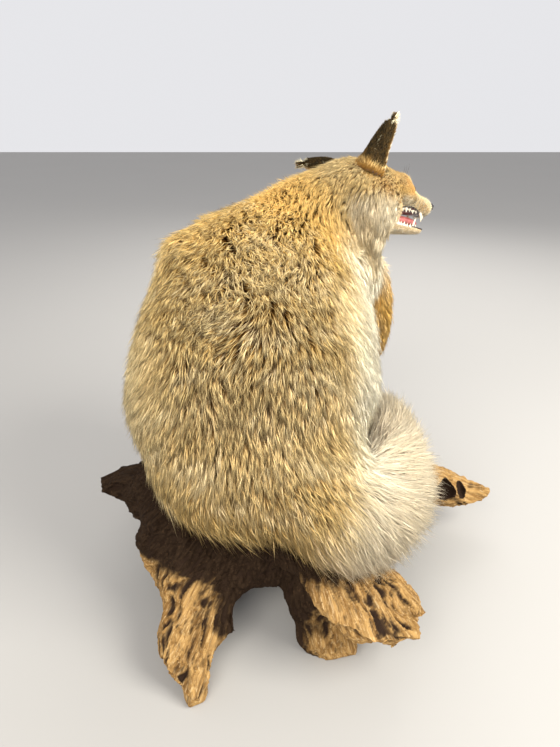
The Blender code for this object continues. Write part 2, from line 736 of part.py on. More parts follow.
def build():
    fox = whole_fox()
    solids = parted_fox(fox)
    solids.update(parted_tail(fox))
    looks = {name: TAIL_COAT if name.startswith("tail") else COAT for name in solids}

    for name, side in SIDES:
        place = Vector((side * EYE_PLACE.x, EYE_PLACE.y, EYE_PLACE.z))
        eye = ball(place, (EYE_RADIUS,) * 3, HEAD_FRAME, segments=10, rings=6)
        solids["head"] = boolean(solids["head"], grown(eye, GAP), "DIFFERENCE")
        solids["eye_" + name], looks["eye_" + name] = eye, GLASS_EYE
        ear = ear_shape(*EARS[name])
        for touched in ("head", "neck", "trunk"):
            ear = boolean(ear, grown(solids[touched], GAP), "DIFFERENCE")
        solids["ear_" + name], looks["ear_" + name] = ear, EAR_BACK
        for paw, places in (("fore_paw", FORE_PAW), ("hind_paw", HIND_PAW)):
            claws = joined(claw_shapes(*places[name]))
            solids[f"{paw}_{name}"] = boolean(solids[f"{paw}_{name}"], claws, "UNION")

    nose = ball(NOSE_PLACE, (0.0095, 0.0085, 0.0075), HEAD_FRAME, segments=10, rings=6)
    solids["head"] = boolean(solids["head"], grown(nose, GAP), "DIFFERENCE")
    solids["head"] = boolean(solids["head"], joined(upper_teeth()), "UNION")
    solids["lower_jaw"] = boolean(solids["lower_jaw"], joined(lower_teeth()), "UNION")
    tongue = boolean(tongue_shape(), block((0, 0.07, -0.0785), (0.1, 0.1, 0.1), JAW_FRAME), "DIFFERENCE")
    solids["nose"], looks["nose"] = nose, LEATHER_NOSE
    solids["tongue"], looks["tongue"] = tongue, TONGUE_PINK

    wood = weathered(melted(wood_shapes(), WOOD_VOXEL, 2), LUMP_HEIGHT, GROOVE_DEPTH)
    wood = thinned(wood, WOOD_TRIANGLES)
    wood = boolean(wood, block((0, 0, -0.1), (2, 2, 0.2)), "DIFFERENCE", solver="EXACT")
    wood = boolean(wood, grown(fox, GAP), "DIFFERENCE")
    for name in solids:
        if name.startswith(("tail", "fore_paw", "hind_paw")):
            wood = boolean(wood, grown(solids[name], GAP), "DIFFERENCE")
    solids["driftwood"], looks["driftwood"] = wood, WOOD
    return solids, looks


def centred(solids):
    """Moves the solids so that the origin is at the bottom centre of their bounding box."""
    corners = [vertex.co for mesh in solids.values() for vertex in mesh.vertices]
    low = Vector([min(corner[axis] for corner in corners) for axis in range(3)])
    high = Vector([max(corner[axis] for corner in corners) for axis in range(3)])
    shift = Vector((-(low.x + high.x) / 2, -(low.y + high.y) / 2, -low.z))
    for mesh in solids.values():
        mesh.transform(Matrix.Translation(shift))


solids, looks = build()
centred(solids)
for name, mesh in solids.items():
    add_object(name, mesh, looks[name])
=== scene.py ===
"""The looks of a mounted red fox: its skin and coat, face, ears, claws and the driftwood it sits on.

Metres, +Z up. The fox faces +Y and +X is its right. The solids of the frame are the outside of the coat:
the skin lies inside them by the coat's depth, and tufts of hair fill the space between. The head has a frame
of its own, +Y along the muzzle and +X to the fox's right, found from the eyes and the nose.
"""

import math

import bmesh
import bpy
import numpy as np
from mathutils import Matrix, Vector, noise
from mathutils.bvhtree import BVHTree
from mathutils.kdtree import KDTree


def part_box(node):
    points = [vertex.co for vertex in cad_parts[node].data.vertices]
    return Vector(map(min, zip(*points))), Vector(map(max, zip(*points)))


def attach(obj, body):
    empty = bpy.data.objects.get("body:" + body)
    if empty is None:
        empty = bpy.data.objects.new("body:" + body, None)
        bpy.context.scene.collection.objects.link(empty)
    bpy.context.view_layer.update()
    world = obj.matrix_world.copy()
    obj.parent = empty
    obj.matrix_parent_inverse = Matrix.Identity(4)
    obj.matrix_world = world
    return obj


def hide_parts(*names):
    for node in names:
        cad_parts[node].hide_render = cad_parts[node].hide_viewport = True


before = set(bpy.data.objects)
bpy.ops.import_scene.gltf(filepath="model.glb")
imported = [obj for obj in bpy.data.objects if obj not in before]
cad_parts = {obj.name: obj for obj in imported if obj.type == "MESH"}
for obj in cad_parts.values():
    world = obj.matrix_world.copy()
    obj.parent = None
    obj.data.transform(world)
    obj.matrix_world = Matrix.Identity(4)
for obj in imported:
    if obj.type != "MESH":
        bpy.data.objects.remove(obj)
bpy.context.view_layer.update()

bl_info = {
    "name": "Mounted Fox",
    "version": (1, 0, 0),
    "blender": (4, 5, 0),
    "location": "3D View > Sidebar > Mounted Fox",
    "description": "Builds the skin, coat, face and driftwood of a mounted fox around its solids",
    "category": "Object",
}

BODY = "root"
SEED = 20
BOTH = (-1, 1)  # the left side and the right one
SIDES = (("left", -1), ("right", 1))
LEG_PARTS = ("upper_arm", "forearm", "fore_paw", "thigh", "shank", "hind_foot", "hind_paw")
FLESH = ["trunk", "neck", *(f"{part}_{side}" for part in LEG_PARTS for side, sign in SIDES),
         "tail_base", "tail_middle", "tail_tip"]

# Places in the head's own frame, and the scale from it to the model
HEAD_SIZE = 0.96
EYE_PLACE = Vector((0.0270, 0.0550, 0.0080))
NOSE_PLACE = Vector((0.0, 0.1265, -0.0055))
EYE_RADIUS = 0.0088
LID = 0.0016  # how far the lids stand over the eyeball
JAW_PIVOT = Vector((0.0, 0.006, -0.022))
GAPE = math.radians(4.5)

Y_AXIS, Z_AXIS = Vector((0, 1, 0)), Vector((0, 0, 1))


def middle(node):
    low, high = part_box(node)
    return (low + high) / 2


def head_frame():
    """The head's frame, from the eyes' and the nose's places in the model."""
    left, right, nose = middle("eye_left"), middle("eye_right"), middle("nose")
    between = (left + right) / 2
    across = (right - left).normalized()
    ahead = nose - between
    ahead = (ahead - across * ahead.dot(across)).normalized()
    above = across.cross(ahead)
    dip = math.atan2(EYE_PLACE.z - NOSE_PLACE.z, NOSE_PLACE.y - EYE_PLACE.y)
    forward = ahead * math.cos(dip) + above * math.sin(dip)
    up = across.cross(forward)
    origin = between - (forward * EYE_PLACE.y + up * EYE_PLACE.z) * HEAD_SIZE
    turn = Matrix((across, forward, up)).transposed().to_4x4()
    return Matrix.Translation(origin) @ turn @ Matrix.Scale(HEAD_SIZE, 4)


HEAD = head_frame()
JAW = HEAD @ Matrix.Translation(JAW_PIVOT) @ Matrix.Rotation(-GAPE, 4, "X") @ Matrix.Translation(-JAW_PIVOT)
FOX = {}  # what one operator makes and a later one needs


def tone(name):
    """A colour of the coat."""
    return np.array(tuple(getattr(bpy.context.scene.fox_coat, name)))


# Settings


def colour_setting(name, description, default):
    return bpy.props.FloatVectorProperty(
        name=name, description=description, default=default, subtype="COLOR", size=3)


def length_setting(name, description, default):
    return bpy.props.FloatProperty(
        name=name, description=description, default=default, unit="LENGTH", precision=4)


class FoxCoatSettings(bpy.types.PropertyGroup):
    density: bpy.props.FloatProperty(
        name="Density", description="How many tufts the coat has, against the full coat",
        default=1.0, min=0.05, max=1.2)
    clumping: bpy.props.FloatProperty(
        name="Clumping", description="How far the tips of neighbouring tufts draw together",
        default=0.62, min=0.0, max=1.0, subtype="FACTOR")
    skin_voxel: length_setting("Skin Voxel", "Size of the skin's faces", 0.0033)
    straw: colour_setting("Straw", "Ground colour of the coat", (0.73, 0.50, 0.185))
    gold: colour_setting("Gold", "Colour of the withers and shoulders", (0.80, 0.50, 0.12))
    cream: colour_setting("Cream", "Colour of the flanks and belly", (0.95, 0.85, 0.58))
    rust: colour_setting("Rust", "Colour of the forelegs, brow and the patch under the ear", (0.68, 0.36, 0.09))
    grey: colour_setting("Grey", "Colour of the collar and the cheek ruff", (0.62, 0.47, 0.24))
    white: colour_setting("White", "Colour of the muzzle, lips and throat", (0.88, 0.82, 0.66))
    saddle: colour_setting("Saddle", "Colour along the spine, below the banded tips", (0.50, 0.285, 0.070))
    dark: colour_setting("Dark", "Colour of the dark bands, the ear backs and the feet", (0.050, 0.026, 0.012))
    brush: colour_setting("Brush", "Colour of the tail", (0.67, 0.58, 0.435))


class FoxWoodSettings(bpy.types.PropertyGroup):
    voxel: length_setting("Voxel", "Size of the driftwood's faces", 0.0026)
    groove_depth: length_setting("Groove Depth", "Depth of the grooves between the wood's fibres", 0.0042)
    ridge: colour_setting("Ridge", "Colour of the worn golden ridges", (0.45, 0.275, 0.100))
    weathered: colour_setting("Weathered", "Colour of the grey brown weathered faces", (0.034, 0.020, 0.011))
    # The groove colour is painted shade in the deep grooves and the hollows.
    groove: colour_setting("Groove", "Colour of the deep grooves and hollows", (0.022, 0.012, 0.007))


class FoxStageSettings(bpy.types.PropertyGroup):
    lens: bpy.props.FloatProperty(
        name="Lens", description="Focal length of the camera, in millimetres", default=27.0)
    camera_place: bpy.props.FloatVectorProperty(
        name="Camera Place", description="Place of the camera, behind and above the fox",
        default=(-0.0346, -0.6373, 0.620), unit="LENGTH", size=3)
    camera_tilt: bpy.props.FloatProperty(
        name="Camera Tilt", description="Angle of the camera from straight down",
        default=math.radians(63.1), subtype="ANGLE", unit="ROTATION")
    floor_colour: colour_setting("Floor Colour", "Colour of the floor", (0.36, 0.35, 0.335))


# Node tools


def plug(tree, value, socket):
    """Links a socket, or sets a plain value."""
    if isinstance(value, bpy.types.NodeSocket):
        tree.links.new(value, socket)
    elif socket.type == "RGBA":
        socket.default_value = (*value[:3], 1.0)
    else:
        socket.default_value = value


def node(tree, kind, inputs, output=0, **settings):
    """One output of a new node; each input, by name or number, is a socket or a value."""
    made = tree.nodes.new("ShaderNode" + kind)
    for key, value in settings.items():
        setattr(made, key, value)
    for key, value in inputs.items():
        plug(tree, value, made.inputs[key])
    return made.outputs[output]


def mix(tree, factor, first, second, blend="MIX"):
    return node(tree, "Mix", {0: factor, 6: first, 7: second}, 2, data_type="RGBA", blend_type=blend)


def maths(tree, operation, first, second=0.0, clamp=False):
    return node(tree, "Math", {0: first, 1: second}, operation=operation, use_clamp=clamp)


def times(tree, first, second, clamp=False):
    return maths(tree, "MULTIPLY", first, second, clamp)


def plus(tree, first, second):
    return maths(tree, "ADD", first, second)


def ramp(tree, value, low, high):
    """0 below low and 1 above high."""
    return node(tree, "MapRange", {0: value, 1: low, 2: high}, interpolation_type="SMOOTHSTEP")


def read(tree, name, output="Fac"):
    """The value that a mesh holds under a name."""
    return node(tree, "Attribute", {}, output, attribute_name=name)


def here(tree):
    return node(tree, "TexCoord", {}, "Object")


def noise_at(tree, scale, detail=3.0, roughness=0.55, vector=None, distortion=0.0):
    return node(tree, "TexNoise", {"Scale": scale, "Detail": detail, "Roughness": roughness,
                                   "Distortion": distortion, "Vector": vector or here(tree)})


def new_group(name, inputs, outputs):
    """A shader node group, with its inputs by name; each input is a name, a socket type and a default."""
    group = bpy.data.node_groups.new(name, "ShaderNodeTree")
    for label, kind, value in inputs:
        socket = group.interface.new_socket(name=label, in_out="INPUT", socket_type="NodeSocket" + kind)
        socket.default_value = (*value, 1.0) if kind == "Color" else value
    for label, kind in outputs:
        group.interface.new_socket(name=label, in_out="OUTPUT", socket_type="NodeSocket" + kind)
    return group, group.nodes.new("NodeGroupInput").outputs, group.nodes.new("NodeGroupOutput").inputs


def place_group(tree, group, **values):
    """The outputs of a node group, placed with its own values."""
    made = tree.nodes.new("ShaderNodeGroup")
    made.node_tree = group
    for label, value in values.items():
        plug(tree, value, made.inputs[label.replace("_", " ")])
    return made.outputs


def new_material(name, roughness=0.6, **constants):
    """A material, its node tree and its Principled BSDF with constant values."""
    made = bpy.data.materials.new(name)
    made.use_nodes = True
    shader = made.node_tree.nodes["Principled BSDF"].inputs
    shader["Roughness"].default_value = roughness
    for label, value in constants.items():
        shader[label.replace("_", " ")].default_value = value
    return made, made.node_tree, shader


def bump(tree, height, strength, distance, shader):
    bumped = node(tree, "Bump", {"Strength": strength, "Distance": distance, "Height": height})
    plug(tree, bumped, shader["Normal"])


# Shared effects


def hair_bands_group():
    """A hair's colour along its length: a dim root, which is partly the hair's own darker base and partly
    painted shade in the gaps between the tufts, a clear body, a pale ring and a dark tip.
    """
    group, given, result = new_group("hair_bands", [
        ("Coat", "Color", (0.6, 0.4, 0.2)), ("Along", "Float", 0.5), ("Banding", "Float", 0.3),
        ("Shade", "Float", 0.5), ("Dark", "Color", (0.05, 0.03, 0.015)), ("Pale", "Color", (0.94, 0.78, 0.40)),
        ("Root Depth", "Float", 0.45),
    ], [("Color", "Color")])
    coat, along, banding, shade = (given[label] for label in ("Coat", "Along", "Banding", "Shade"))
    # The dim root is partly the hair's own darker base and partly painted shade between the tufts; it goes
    # deeper where the coat is banded.
    depth = times(group, given["Root Depth"], plus(group, times(group, banding, 1.2), 0.16), clamp=True)
    dim = mix(group, depth, coat, mix(group, 1.0, coat, (0.20, 0.115, 0.055), "MULTIPLY"))
    body = mix(group, ramp(group, along, 0.16, 0.68), dim, coat)
    ring = times(group, ramp(group, along, 0.42, 0.70), times(group, banding, 0.55))
    ringed = mix(group, ring, body, given["Pale"])
    tip = times(group, ramp(group, along, 0.66, 0.92),
                ramp(group, plus(group, banding, times(group, shade, 0.6)), 0.72, 0.98))
    tipped = mix(group, tip, ringed, given["Dark"])
    light = plus(group, 0.66, times(group, shade, 0.68))
    grey = node(group, "CombineColor", {axis: light for axis in range(3)})
    plug(group, mix(group, 1.0, tipped, grey, "MULTIPLY"), result["Color"])
    return group


def fine_grain_group():
    """A fine mottle, as a mask and as a height, for skin, leather, horn and gums."""
    group, given, result = new_group("fine_grain", [
        ("Vector", "Vector", (0.0, 0.0, 0.0)), ("Scale", "Float", 400.0), ("Mottle Scale", "Float", 60.0),
    ], [("Height", "Float"), ("Mottle", "Float")])
    cells = node(group, "TexVoronoi", {"Vector": given["Vector"], "Scale": given["Scale"]}, "Distance")
    specks = node(group, "TexNoise", {"Vector": given["Vector"], "Scale": given["Mottle Scale"], "Detail": 4.0})
    plug(group, cells, result["Height"])
    plug(group, ramp(group, specks, 0.35, 0.68), result["Mottle"])
    return group


# Materials


def coat_material(name, roughness, root_depth, gloss=0.14):
    """Hair: the coat's own markings, banded along each tuft, with a dim root that is partly painted shade
    between the tufts.
    """
    made, tree, shader = new_material(name, roughness, Specular_IOR_Level=gloss)
    bands = place_group(
        tree, FOX["hair_bands"], Coat=read(tree, "coat_colour", "Color"), Along=read(tree, "along"),
        Banding=read(tree, "banding"), Shade=read(tree, "shade"), Dark=tuple(bpy.context.scene.fox_coat.dark),
        Root_Depth=root_depth)
    plug(tree, bands["Color"], shader["Base Color"])
    return made


def add_grain(tree, shader, first, second, scale, mottle, strength, distance):
    """Two colours in a mottle, with a fine bump."""
    grain = place_group(tree, FOX["fine_grain"], Vector=here(tree), Scale=scale, Mottle_Scale=mottle)
    plug(tree, mix(tree, grain["Mottle"], first, second), shader["Base Color"])
    bump(tree, grain["Height"], strength, distance, shader)


def grained_material(name, roughness, *grain, **constants):
    made, tree, shader = new_material(name, roughness, **constants)
    add_grain(tree, shader, *grain)
    return made


def skin_material():
    """The close fur on the skin, in the coat's own markings made darker: partly that fur's own darker tone,
    partly painted shade in the gaps between the tufts.
    """
    made, tree, shader = new_material("shaded_underfur", 0.85, Specular_IOR_Level=0.15, Sheen_Weight=0.10)
    coat = read(tree, "coat_colour", "Color")
    # Both mottled colours are darker copies of the coat: painted shade between the tufts as well as the close
    # fur's own tone.
    add_grain(tree, shader, mix(tree, 1.0, coat, (0.46, 0.35, 0.23), "MULTIPLY"),
              mix(tree, 1.0, coat, (0.70, 0.59, 0.44), "MULTIPLY"), 900.0, 160.0, 0.6, 0.0012)
    return made


def glass_eye_material():
    """An amber iris with dark fibres round a slit pupil, under clear glass. The eye looks along its own +Y."""
    made, tree, shader = new_material("amber_glass_eye", 0.04, Coat_Weight=1.0, Coat_Roughness=0.01, IOR=1.5)
    across, up = (node(tree, "SeparateXYZ", {0: here(tree)}, axis) for axis in "XZ")
    reach = maths(tree, "SQRT", plus(tree, times(tree, across, across), times(tree, up, up)))
    rays = node(tree, "CombineXYZ", {"X": maths(tree, "ARCTAN2", up, across), "Y": times(tree, reach, 90.0)})
    fibres = noise_at(tree, 9.0, 5.0, 0.7, rays)
    amber = mix(tree, ramp(tree, fibres, 0.3, 0.7), (0.10, 0.030, 0.006), (0.42, 0.17, 0.030))
    iris = mix(tree, ramp(tree, reach, 0.0046, 0.0062), amber, (0.012, 0.008, 0.006))
    slit = plus(tree, *(maths(tree, "POWER", times(tree, maths(tree, "ABSOLUTE", part), scale), 2.0)
                        for part, scale in ((across, 520.0), (up, 265.0))))
    plug(tree, mix(tree, ramp(tree, slit, 0.80, 1.05), (0.004, 0.003, 0.003), iris), shader["Base Color"])
    return made


def tooth_material():
    made, tree, shader = new_material("ivory_teeth", 0.28, Coat_Weight=0.35)
    stain = ramp(tree, noise_at(tree, 240.0, 4.0), 0.42, 0.72)
    plug(tree, mix(tree, stain, (0.86, 0.80, 0.66), (0.66, 0.52, 0.30)), shader["Base Color"])
    bump(tree, noise_at(tree, 700.0, 2.0), 0.12, 0.0004, shader)
    return made


def wood_material():
    """Weathered fibrous driftwood: golden on its rubbed ridges and grey brown on its faces, with painted shade
    darkening its grooves and hollows, the central wall of the stump and its upper left lump.
    """
    weathered, ridge, groove = (tuple(getattr(bpy.context.scene.fox_wood, key)) for key in (
        "weathered", "ridge", "groove"))
    made, tree, shader = new_material("driftwood_grain", 0.85, Specular_IOR_Level=0.08)
    centre = node(tree, "VectorMath", {0: here(tree), 1: GRAIN_CENTRE}, operation="SUBTRACT")
    outward = node(tree, "VectorMath", {0: centre}, operation="NORMALIZE")
    length = node(tree, "VectorMath", {0: centre}, "Value", operation="LENGTH")
    slow = node(tree, "CombineXYZ", {
        axis: times(tree, length, factor) for axis, factor in zip("XYZ", FIBRE_DRIFT)})
    place = node(tree, "VectorMath", {0: outward, 1: (FIBRES,) * 3, 2: slow}, operation="MULTIPLY_ADD")
    fibres = noise_at(tree, 1.0, 6.0, 0.62, place, 0.3)
    fine = noise_at(tree, 3.2, 4.0, 0.6, place)
    patches, specks = noise_at(tree, 11.0, 4.0, 0.6), noise_at(tree, 320.0, 3.0, 0.6)
    height = read(tree, "relief")
    wear_and_shade = plus(tree, times(tree, height, 0.55), times(tree, patches, 0.60))
    # The values kept on the mesh add gold towards the roots' ends, where the wood is rubbed, and take it away
    # as painted shade on the central wall and the upper left lump.
    gold = ramp(tree, plus(tree, wear_and_shade, times(tree, read(tree, "wear_and_shade"), 0.55)), 0.72, 1.14)
    base = mix(tree, gold, weathered, ridge)
    streaked = mix(tree, times(tree, ramp(tree, fibres, 0.38, 0.62), 0.75),
                   mix(tree, 1.0, base, (0.40, 0.34, 0.28), "MULTIPLY"), base)
    pale = times(tree, ramp(tree, fine, 0.50, 0.72), times(tree, gold, 0.45))
    lit = mix(tree, pale, streaked, (0.70, 0.52, 0.28))
    speckled = mix(tree, times(tree, ramp(tree, specks, 0.58, 0.72), 0.4), lit, (0.09, 0.05, 0.025))
    # Low relief takes the groove colour: painted shade in the grooves and hollows.
    plug(tree, mix(tree, ramp(tree, height, 0.52, 0.24), speckled, groove), shader["Base Color"])
    plug(tree, plus(tree, 0.72, times(tree, fibres, 0.22)), shader["Roughness"])
    bump(tree, plus(tree, fibres, times(tree, fine, 0.5)), 0.85, 0.0022, shader)
    return made


# Mesh tools


def add_piece(name, mesh, *looks, slot=None):
    """A visible piece that rides on the fox."""
    made = bpy.data.objects.new(name, mesh)
    mesh.materials.clear()
    for look in looks:
        mesh.materials.append(look)
    bpy.context.scene.collection.objects.link(made)
    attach(made, BODY)
    return made


def mesh_of(build, outward=True):
    """A smooth mesh made by the function build, which fills the bmesh that it is given."""
    shape = bmesh.new()
    build(shape)
    if outward:
        bmesh.ops.recalc_face_normals(shape, faces=shape.faces)
    mesh = bpy.data.meshes.new("shape")
    shape.to_mesh(mesh)
    shape.free()
    mesh.shade_smooth()
    return mesh


def joined(meshes):
    return mesh_of(lambda shape: [shape.from_mesh(mesh) for mesh in meshes], outward=False)


def edited(mesh, change):
    """The mesh, after the function change has worked on its bmesh."""
    shape = bmesh.new()
    shape.from_mesh(mesh)
    change(shape)
    shape.to_mesh(mesh)
    shape.free()
    return mesh


def catmull(stations, steps):
    """Tuples of numbers along a smooth path through the stations."""
    ends = [stations[0], *stations, stations[-1]]
    path = []
    for a, b, c, d in zip(ends, ends[1:], ends[2:], ends[3:]):
        for t in (step / steps for step in range(steps)):
            path.append(tuple(
                0.5 * (2 * q + (r - p) * t + (2 * p - 5 * q + 4 * r - s) * t * t
                       + (3 * q - p - 3 * r + s) * t ** 3)
                for p, q, r, s in zip(a, b, c, d)))
    return [*path, stations[-1]]


def bridge(shape, low, high):
    """Faces between two closed rings of points."""
    for k in range(len(low)):
        after = (k + 1) % len(low)
        shape.faces.new((low[k], low[after], high[after], high[k]))


def limb(stations, place=Matrix(), up=Z_AXIS, around=20, steps=4, caps=(80, 55, 28), shape_at=None):
    """A closed, round-ended tube. A station is x, y, z, half width and half height.

    shape_at(t, turn) may give a factor for the radius at t along the path and a turn round it.
    """
    path = catmull(stations, steps)
    centres = [Vector(station[:3]) for station in path]
    last = len(path) - 1

    def build(shape):
        def ring(index, along, shrink):
            tangent = (centres[min(index + 1, last)] - centres[max(index - 1, 0)]).normalized()
            side = tangent.cross(up).normalized()
            upward = side.cross(tangent)
            spot = centres[index] + tangent * along
            made = []
            for k in range(around):
                turn = 2 * math.pi * k / around
                factor = shrink * (shape_at(index / last, turn) if shape_at else 1.0)
                made.append(shape.verts.new(place @ (
                    spot + side * path[index][3] * factor * math.cos(turn)
                    + upward * path[index][4] * factor * math.sin(turn))))
            return made

        angles = [math.radians(cap) for cap in caps]
        rings = [
            *[ring(0, -min(path[0][3:5]) * math.sin(angle), math.cos(angle)) for angle in angles],
            *[ring(index, 0.0, 1.0) for index in range(last + 1)],
            *[ring(last, min(path[last][3:5]) * math.sin(angle), math.cos(angle))
              for angle in reversed(angles)],
        ]
        for low, high in zip(rings, rings[1:]):
            bridge(shape, low, high)
        shape.faces.new(list(reversed(rings[0])))
        shape.faces.new(rings[-1])

    return mesh_of(build)


def ball(centre, radii, place=Matrix()):
    """An ellipsoid."""
    def build(shape):
        bmesh.ops.create_uvsphere(shape, u_segments=24, v_segments=16, radius=1.0)
        put = place @ Matrix.Translation(centre) @ Matrix.Diagonal((*radii, 1.0))
        bmesh.ops.transform(shape, matrix=put, verts=shape.verts)
    return mesh_of(build)


def tube_along(loop, radius, around):
    """A round tube along a closed list of points, for a lip or the rim of a lid. radius(t) is its radius."""
    count = len(loop)

    def build(shape):
        rings, normal = [], None
        for index, spot in enumerate(loop):
            tangent = (loop[(index + 1) % count] - loop[index - 1]).normalized()
            if normal is None:
                normal = tangent.orthogonal().normalized()
            normal = (normal - tangent * normal.dot(tangent)).normalized()
            side = tangent.cross(normal)
            rings.append([])
            for turn in (2 * math.pi * k / around for k in range(around)):
                way = normal * math.cos(turn) + side * math.sin(turn)
                rings[-1].append(shape.verts.new(spot + way * radius(index / count)))
        first = rings[0]
        shift = min(range(around), key=lambda s: (rings[-1][0].co - first[s].co).length)
        for low, high in zip(rings, [*rings[1:], first[shift:] + first[:shift]]):
            bridge(shape, low, high)

    return mesh_of(build)


def with_modifiers(mesh, *settings):
    """The mesh after some modifiers, each a type and its settings."""
    holder = bpy.data.objects.new("holder", mesh)
    bpy.context.scene.collection.objects.link(holder)
    for kind, values in settings:
        modifier = holder.modifiers.new(kind.lower(), kind)
        for key, value in values.items():
            setattr(modifier, key, value)
    graph = bpy.context.evaluated_depsgraph_get()
    result = bpy.data.meshes.new_from_object(holder.evaluated_get(graph))
    bpy.data.objects.remove(holder, do_unlink=True)
    return result


def remeshed(mesh, voxel, smoothing):
    return with_modifiers(mesh, ("REMESH", {"mode": "VOXEL", "voxel_size": voxel}),
                          ("SMOOTH", {"factor": 0.5, "iterations": smoothing}))


def welded_node(node, grow=0.0):
    """A copy of a solid of the frame, with its corners welded and its surface moved outward."""
    def change(shape):
        bmesh.ops.remove_doubles(shape, verts=shape.verts, dist=1e-5)
        shape.normal_update()
        for vertex in shape.verts:
            vertex.co += vertex.normal * grow
    return edited(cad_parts[node].data.copy(), change)


def largest_island(mesh):
    """The mesh without any loose crumbs beside its main body."""
    def change(shape):
        left, islands = set(shape.verts), []
        while left:
            island, edge = set(), {next(iter(left))}
            while edge:
                island |= edge
                edge = {link.other_vert(vertex) for vertex in edge for link in vertex.link_edges} - island
            islands.append(island)
            left -= island
        islands.sort(key=len)
        bmesh.ops.delete(shape, geom=[vertex for island in islands[:-1] for vertex in island], context="VERTS")
    return edited(mesh, change)


def tree_of(mesh):
    shape = bmesh.new()
    shape.from_mesh(mesh)
    found = BVHTree.FromBMesh(shape)
    shape.free()
    return found


# Work on whole meshes as arrays


def unit(vectors):
    return vectors / np.maximum(np.linalg.norm(vectors, axis=1, keepdims=True), 1e-9)


def smoothstep(value, low, high):
    t = np.clip((value - low) / (high - low), 0.0, 1.0)
    return t * t * (3 - 2 * t)


def bell(value, width):
    return np.exp(-(value / width) ** 2)


def away(points, spot):
    return np.linalg.norm(points - np.array(spot), axis=1)


def nearest(points, spots):
    """The number of the point nearest to each spot."""
    tree = KDTree(len(points))
    for index, point in enumerate(points):
        tree.insert(point, index)
    tree.balance()
    return np.array([tree.find(spot)[1] for spot in spots])


def places_of(mesh):
    return np.array([vertex.co for vertex in mesh.vertices])


def array_of(items, name, width, kind):
    values = np.empty(len(items) * width, kind)
    items.foreach_get(name, values)
    return values.reshape(-1, width)


def keep_values(mesh, name, values):
    """Writes a number or a colour for each point of a mesh, under a name."""
    if values.ndim == 1:
        mesh.attributes.new(name, "FLOAT", "POINT").data.foreach_set("value", values.astype(np.float32))
    else:
        colours = np.column_stack([values, np.ones(len(values))]).astype(np.float32)
        mesh.attributes.new(name, "FLOAT_COLOR", "POINT").data.foreach_set("color", colours.ravel())


class Surface:
    """A mesh as arrays: its points, triangles and edges, and fields of values at its points."""

    def __init__(self, mesh):
        mesh.calc_loop_triangles()
        self.points = array_of(mesh.vertices, "co", 3, np.float32).astype(float)
        self.triangles = array_of(mesh.loop_triangles, "vertices", 3, np.int32)
        self.edges = array_of(mesh.edges, "vertices", 2, np.int32)
        self.fields = {}

    def crosses(self):
        a, b, c = (self.points[self.triangles[:, corner]] for corner in range(3))
        return np.cross(b - a, c - a)

    def areas(self):
        return np.linalg.norm(self.crosses(), axis=1) / 2

    def normals(self):
        faces, total = self.crosses(), np.zeros_like(self.points)
        for corner in range(3):
            for axis in range(3):
                total[:, axis] += np.bincount(self.triangles[:, corner], faces[:, axis], len(self.points))
        return unit(total)

    def evened(self, field, times):
        """The field after each point has taken the mean of its neighbours a number of times."""
        flat = field.reshape(len(self.points), -1).astype(float)
        first, second = self.edges[:, 0], self.edges[:, 1]
        count = np.bincount(self.edges.ravel(), minlength=len(self.points)).astype(float) + 1.0
        for _ in range(times):
            total = flat.copy()
            for axis in range(flat.shape[1]):
                total[:, axis] += np.bincount(first, flat[second, axis], len(self.points))
                total[:, axis] += np.bincount(second, flat[first, axis], len(self.points))
            flat = total / count[:, None]
        return flat.reshape(field.shape)

    def write_to(self, mesh):
        mesh.vertices.foreach_set("co", self.points.astype(np.float32).ravel())
        mesh.update()


def in_frame(points, matrix):
    """The points in the coordinates of a frame."""
    back = np.array(matrix.inverted())
    return points @ back[:3, :3].T + back[:3, 3]


# The fox's form


HEAD_BALLS = (
    ((0.022, 0.043, 0.017), (0.0155, 0.018, 0.0135)), ((0.0306, 0.0488, 0.0030), (0.0130, 0.0150, 0.0160)),
    ((0.010, 0.068, 0.006), (0.013, 0.016, 0.012)), ((0.0100, 0.106, -0.011), (0.0100, 0.018, 0.0100)),
    ((0.034, -0.002, -0.022), (0.027, 0.034, 0.034)), ((0.044, -0.024, -0.038), (0.030, 0.032, 0.046)),
    (tuple(EYE_PLACE), (EYE_RADIUS + LID,) * 3),
)


def head_forms():
    """Skull, brows, muzzle, cheeks, ruff, jaw and the top of the neck, out to the tips of the coat."""
    skull = limb([
        (0, -0.036, -0.004, 0.038, 0.034), (0, -0.014, 0.000, 0.048, 0.040), (0, 0.014, 0.001, 0.049, 0.038),
        (0, 0.036, 0.003, 0.041, 0.033), (0, 0.054, 0.002, 0.032, 0.027), (0, 0.072, -0.0015, 0.0255, 0.0215),
        (0, 0.094, -0.0065, 0.0200, 0.0172), (0, 0.114, -0.0080, 0.0168, 0.0155),
    ], HEAD, around=24)
    balls = [ball((side * x, y, z), radii, HEAD) for side in BOTH for (x, y, z), radii in HEAD_BALLS]
    jaw = limb([
        (0, -0.014, -0.048, 0.034, 0.022), (0, 0.024, -0.0425, 0.027, 0.0140),
        (0, 0.056, -0.0390, 0.0190, 0.0098), (0, 0.084, -0.0365, 0.0150, 0.0076),
        (0, 0.109, -0.0335, 0.0118, 0.0068),
    ], JAW)
    nape = limb([
        (-0.049, -0.064, -0.063, 0.083, 0.081), (-0.031, -0.037, -0.033, 0.069, 0.069),
        (-0.016, -0.014, -0.011, 0.056, 0.058),
    ], HEAD, around=24)
    throat = limb([
        (-0.078, -0.004, -0.065, 0.062, 0.060), (-0.044, 0.009, -0.035, 0.050, 0.052),
    ], HEAD, up=Y_AXIS)
    return [skull, *balls, jaw, nape, throat]


EYE_AXIS = Vector((0.46, 0.88, 0.10))


def eye_frame(side):
    """An eye's frame: its centre, with +Y the way it looks."""
    place = Vector((side * EYE_PLACE.x, EYE_PLACE.y, EYE_PLACE.z))
    turn = Vector((side * EYE_AXIS.x, EYE_AXIS.y, EYE_AXIS.z)).to_track_quat("Y", "Z").to_matrix().to_4x4()
    return HEAD @ Matrix.Translation(place) @ turn


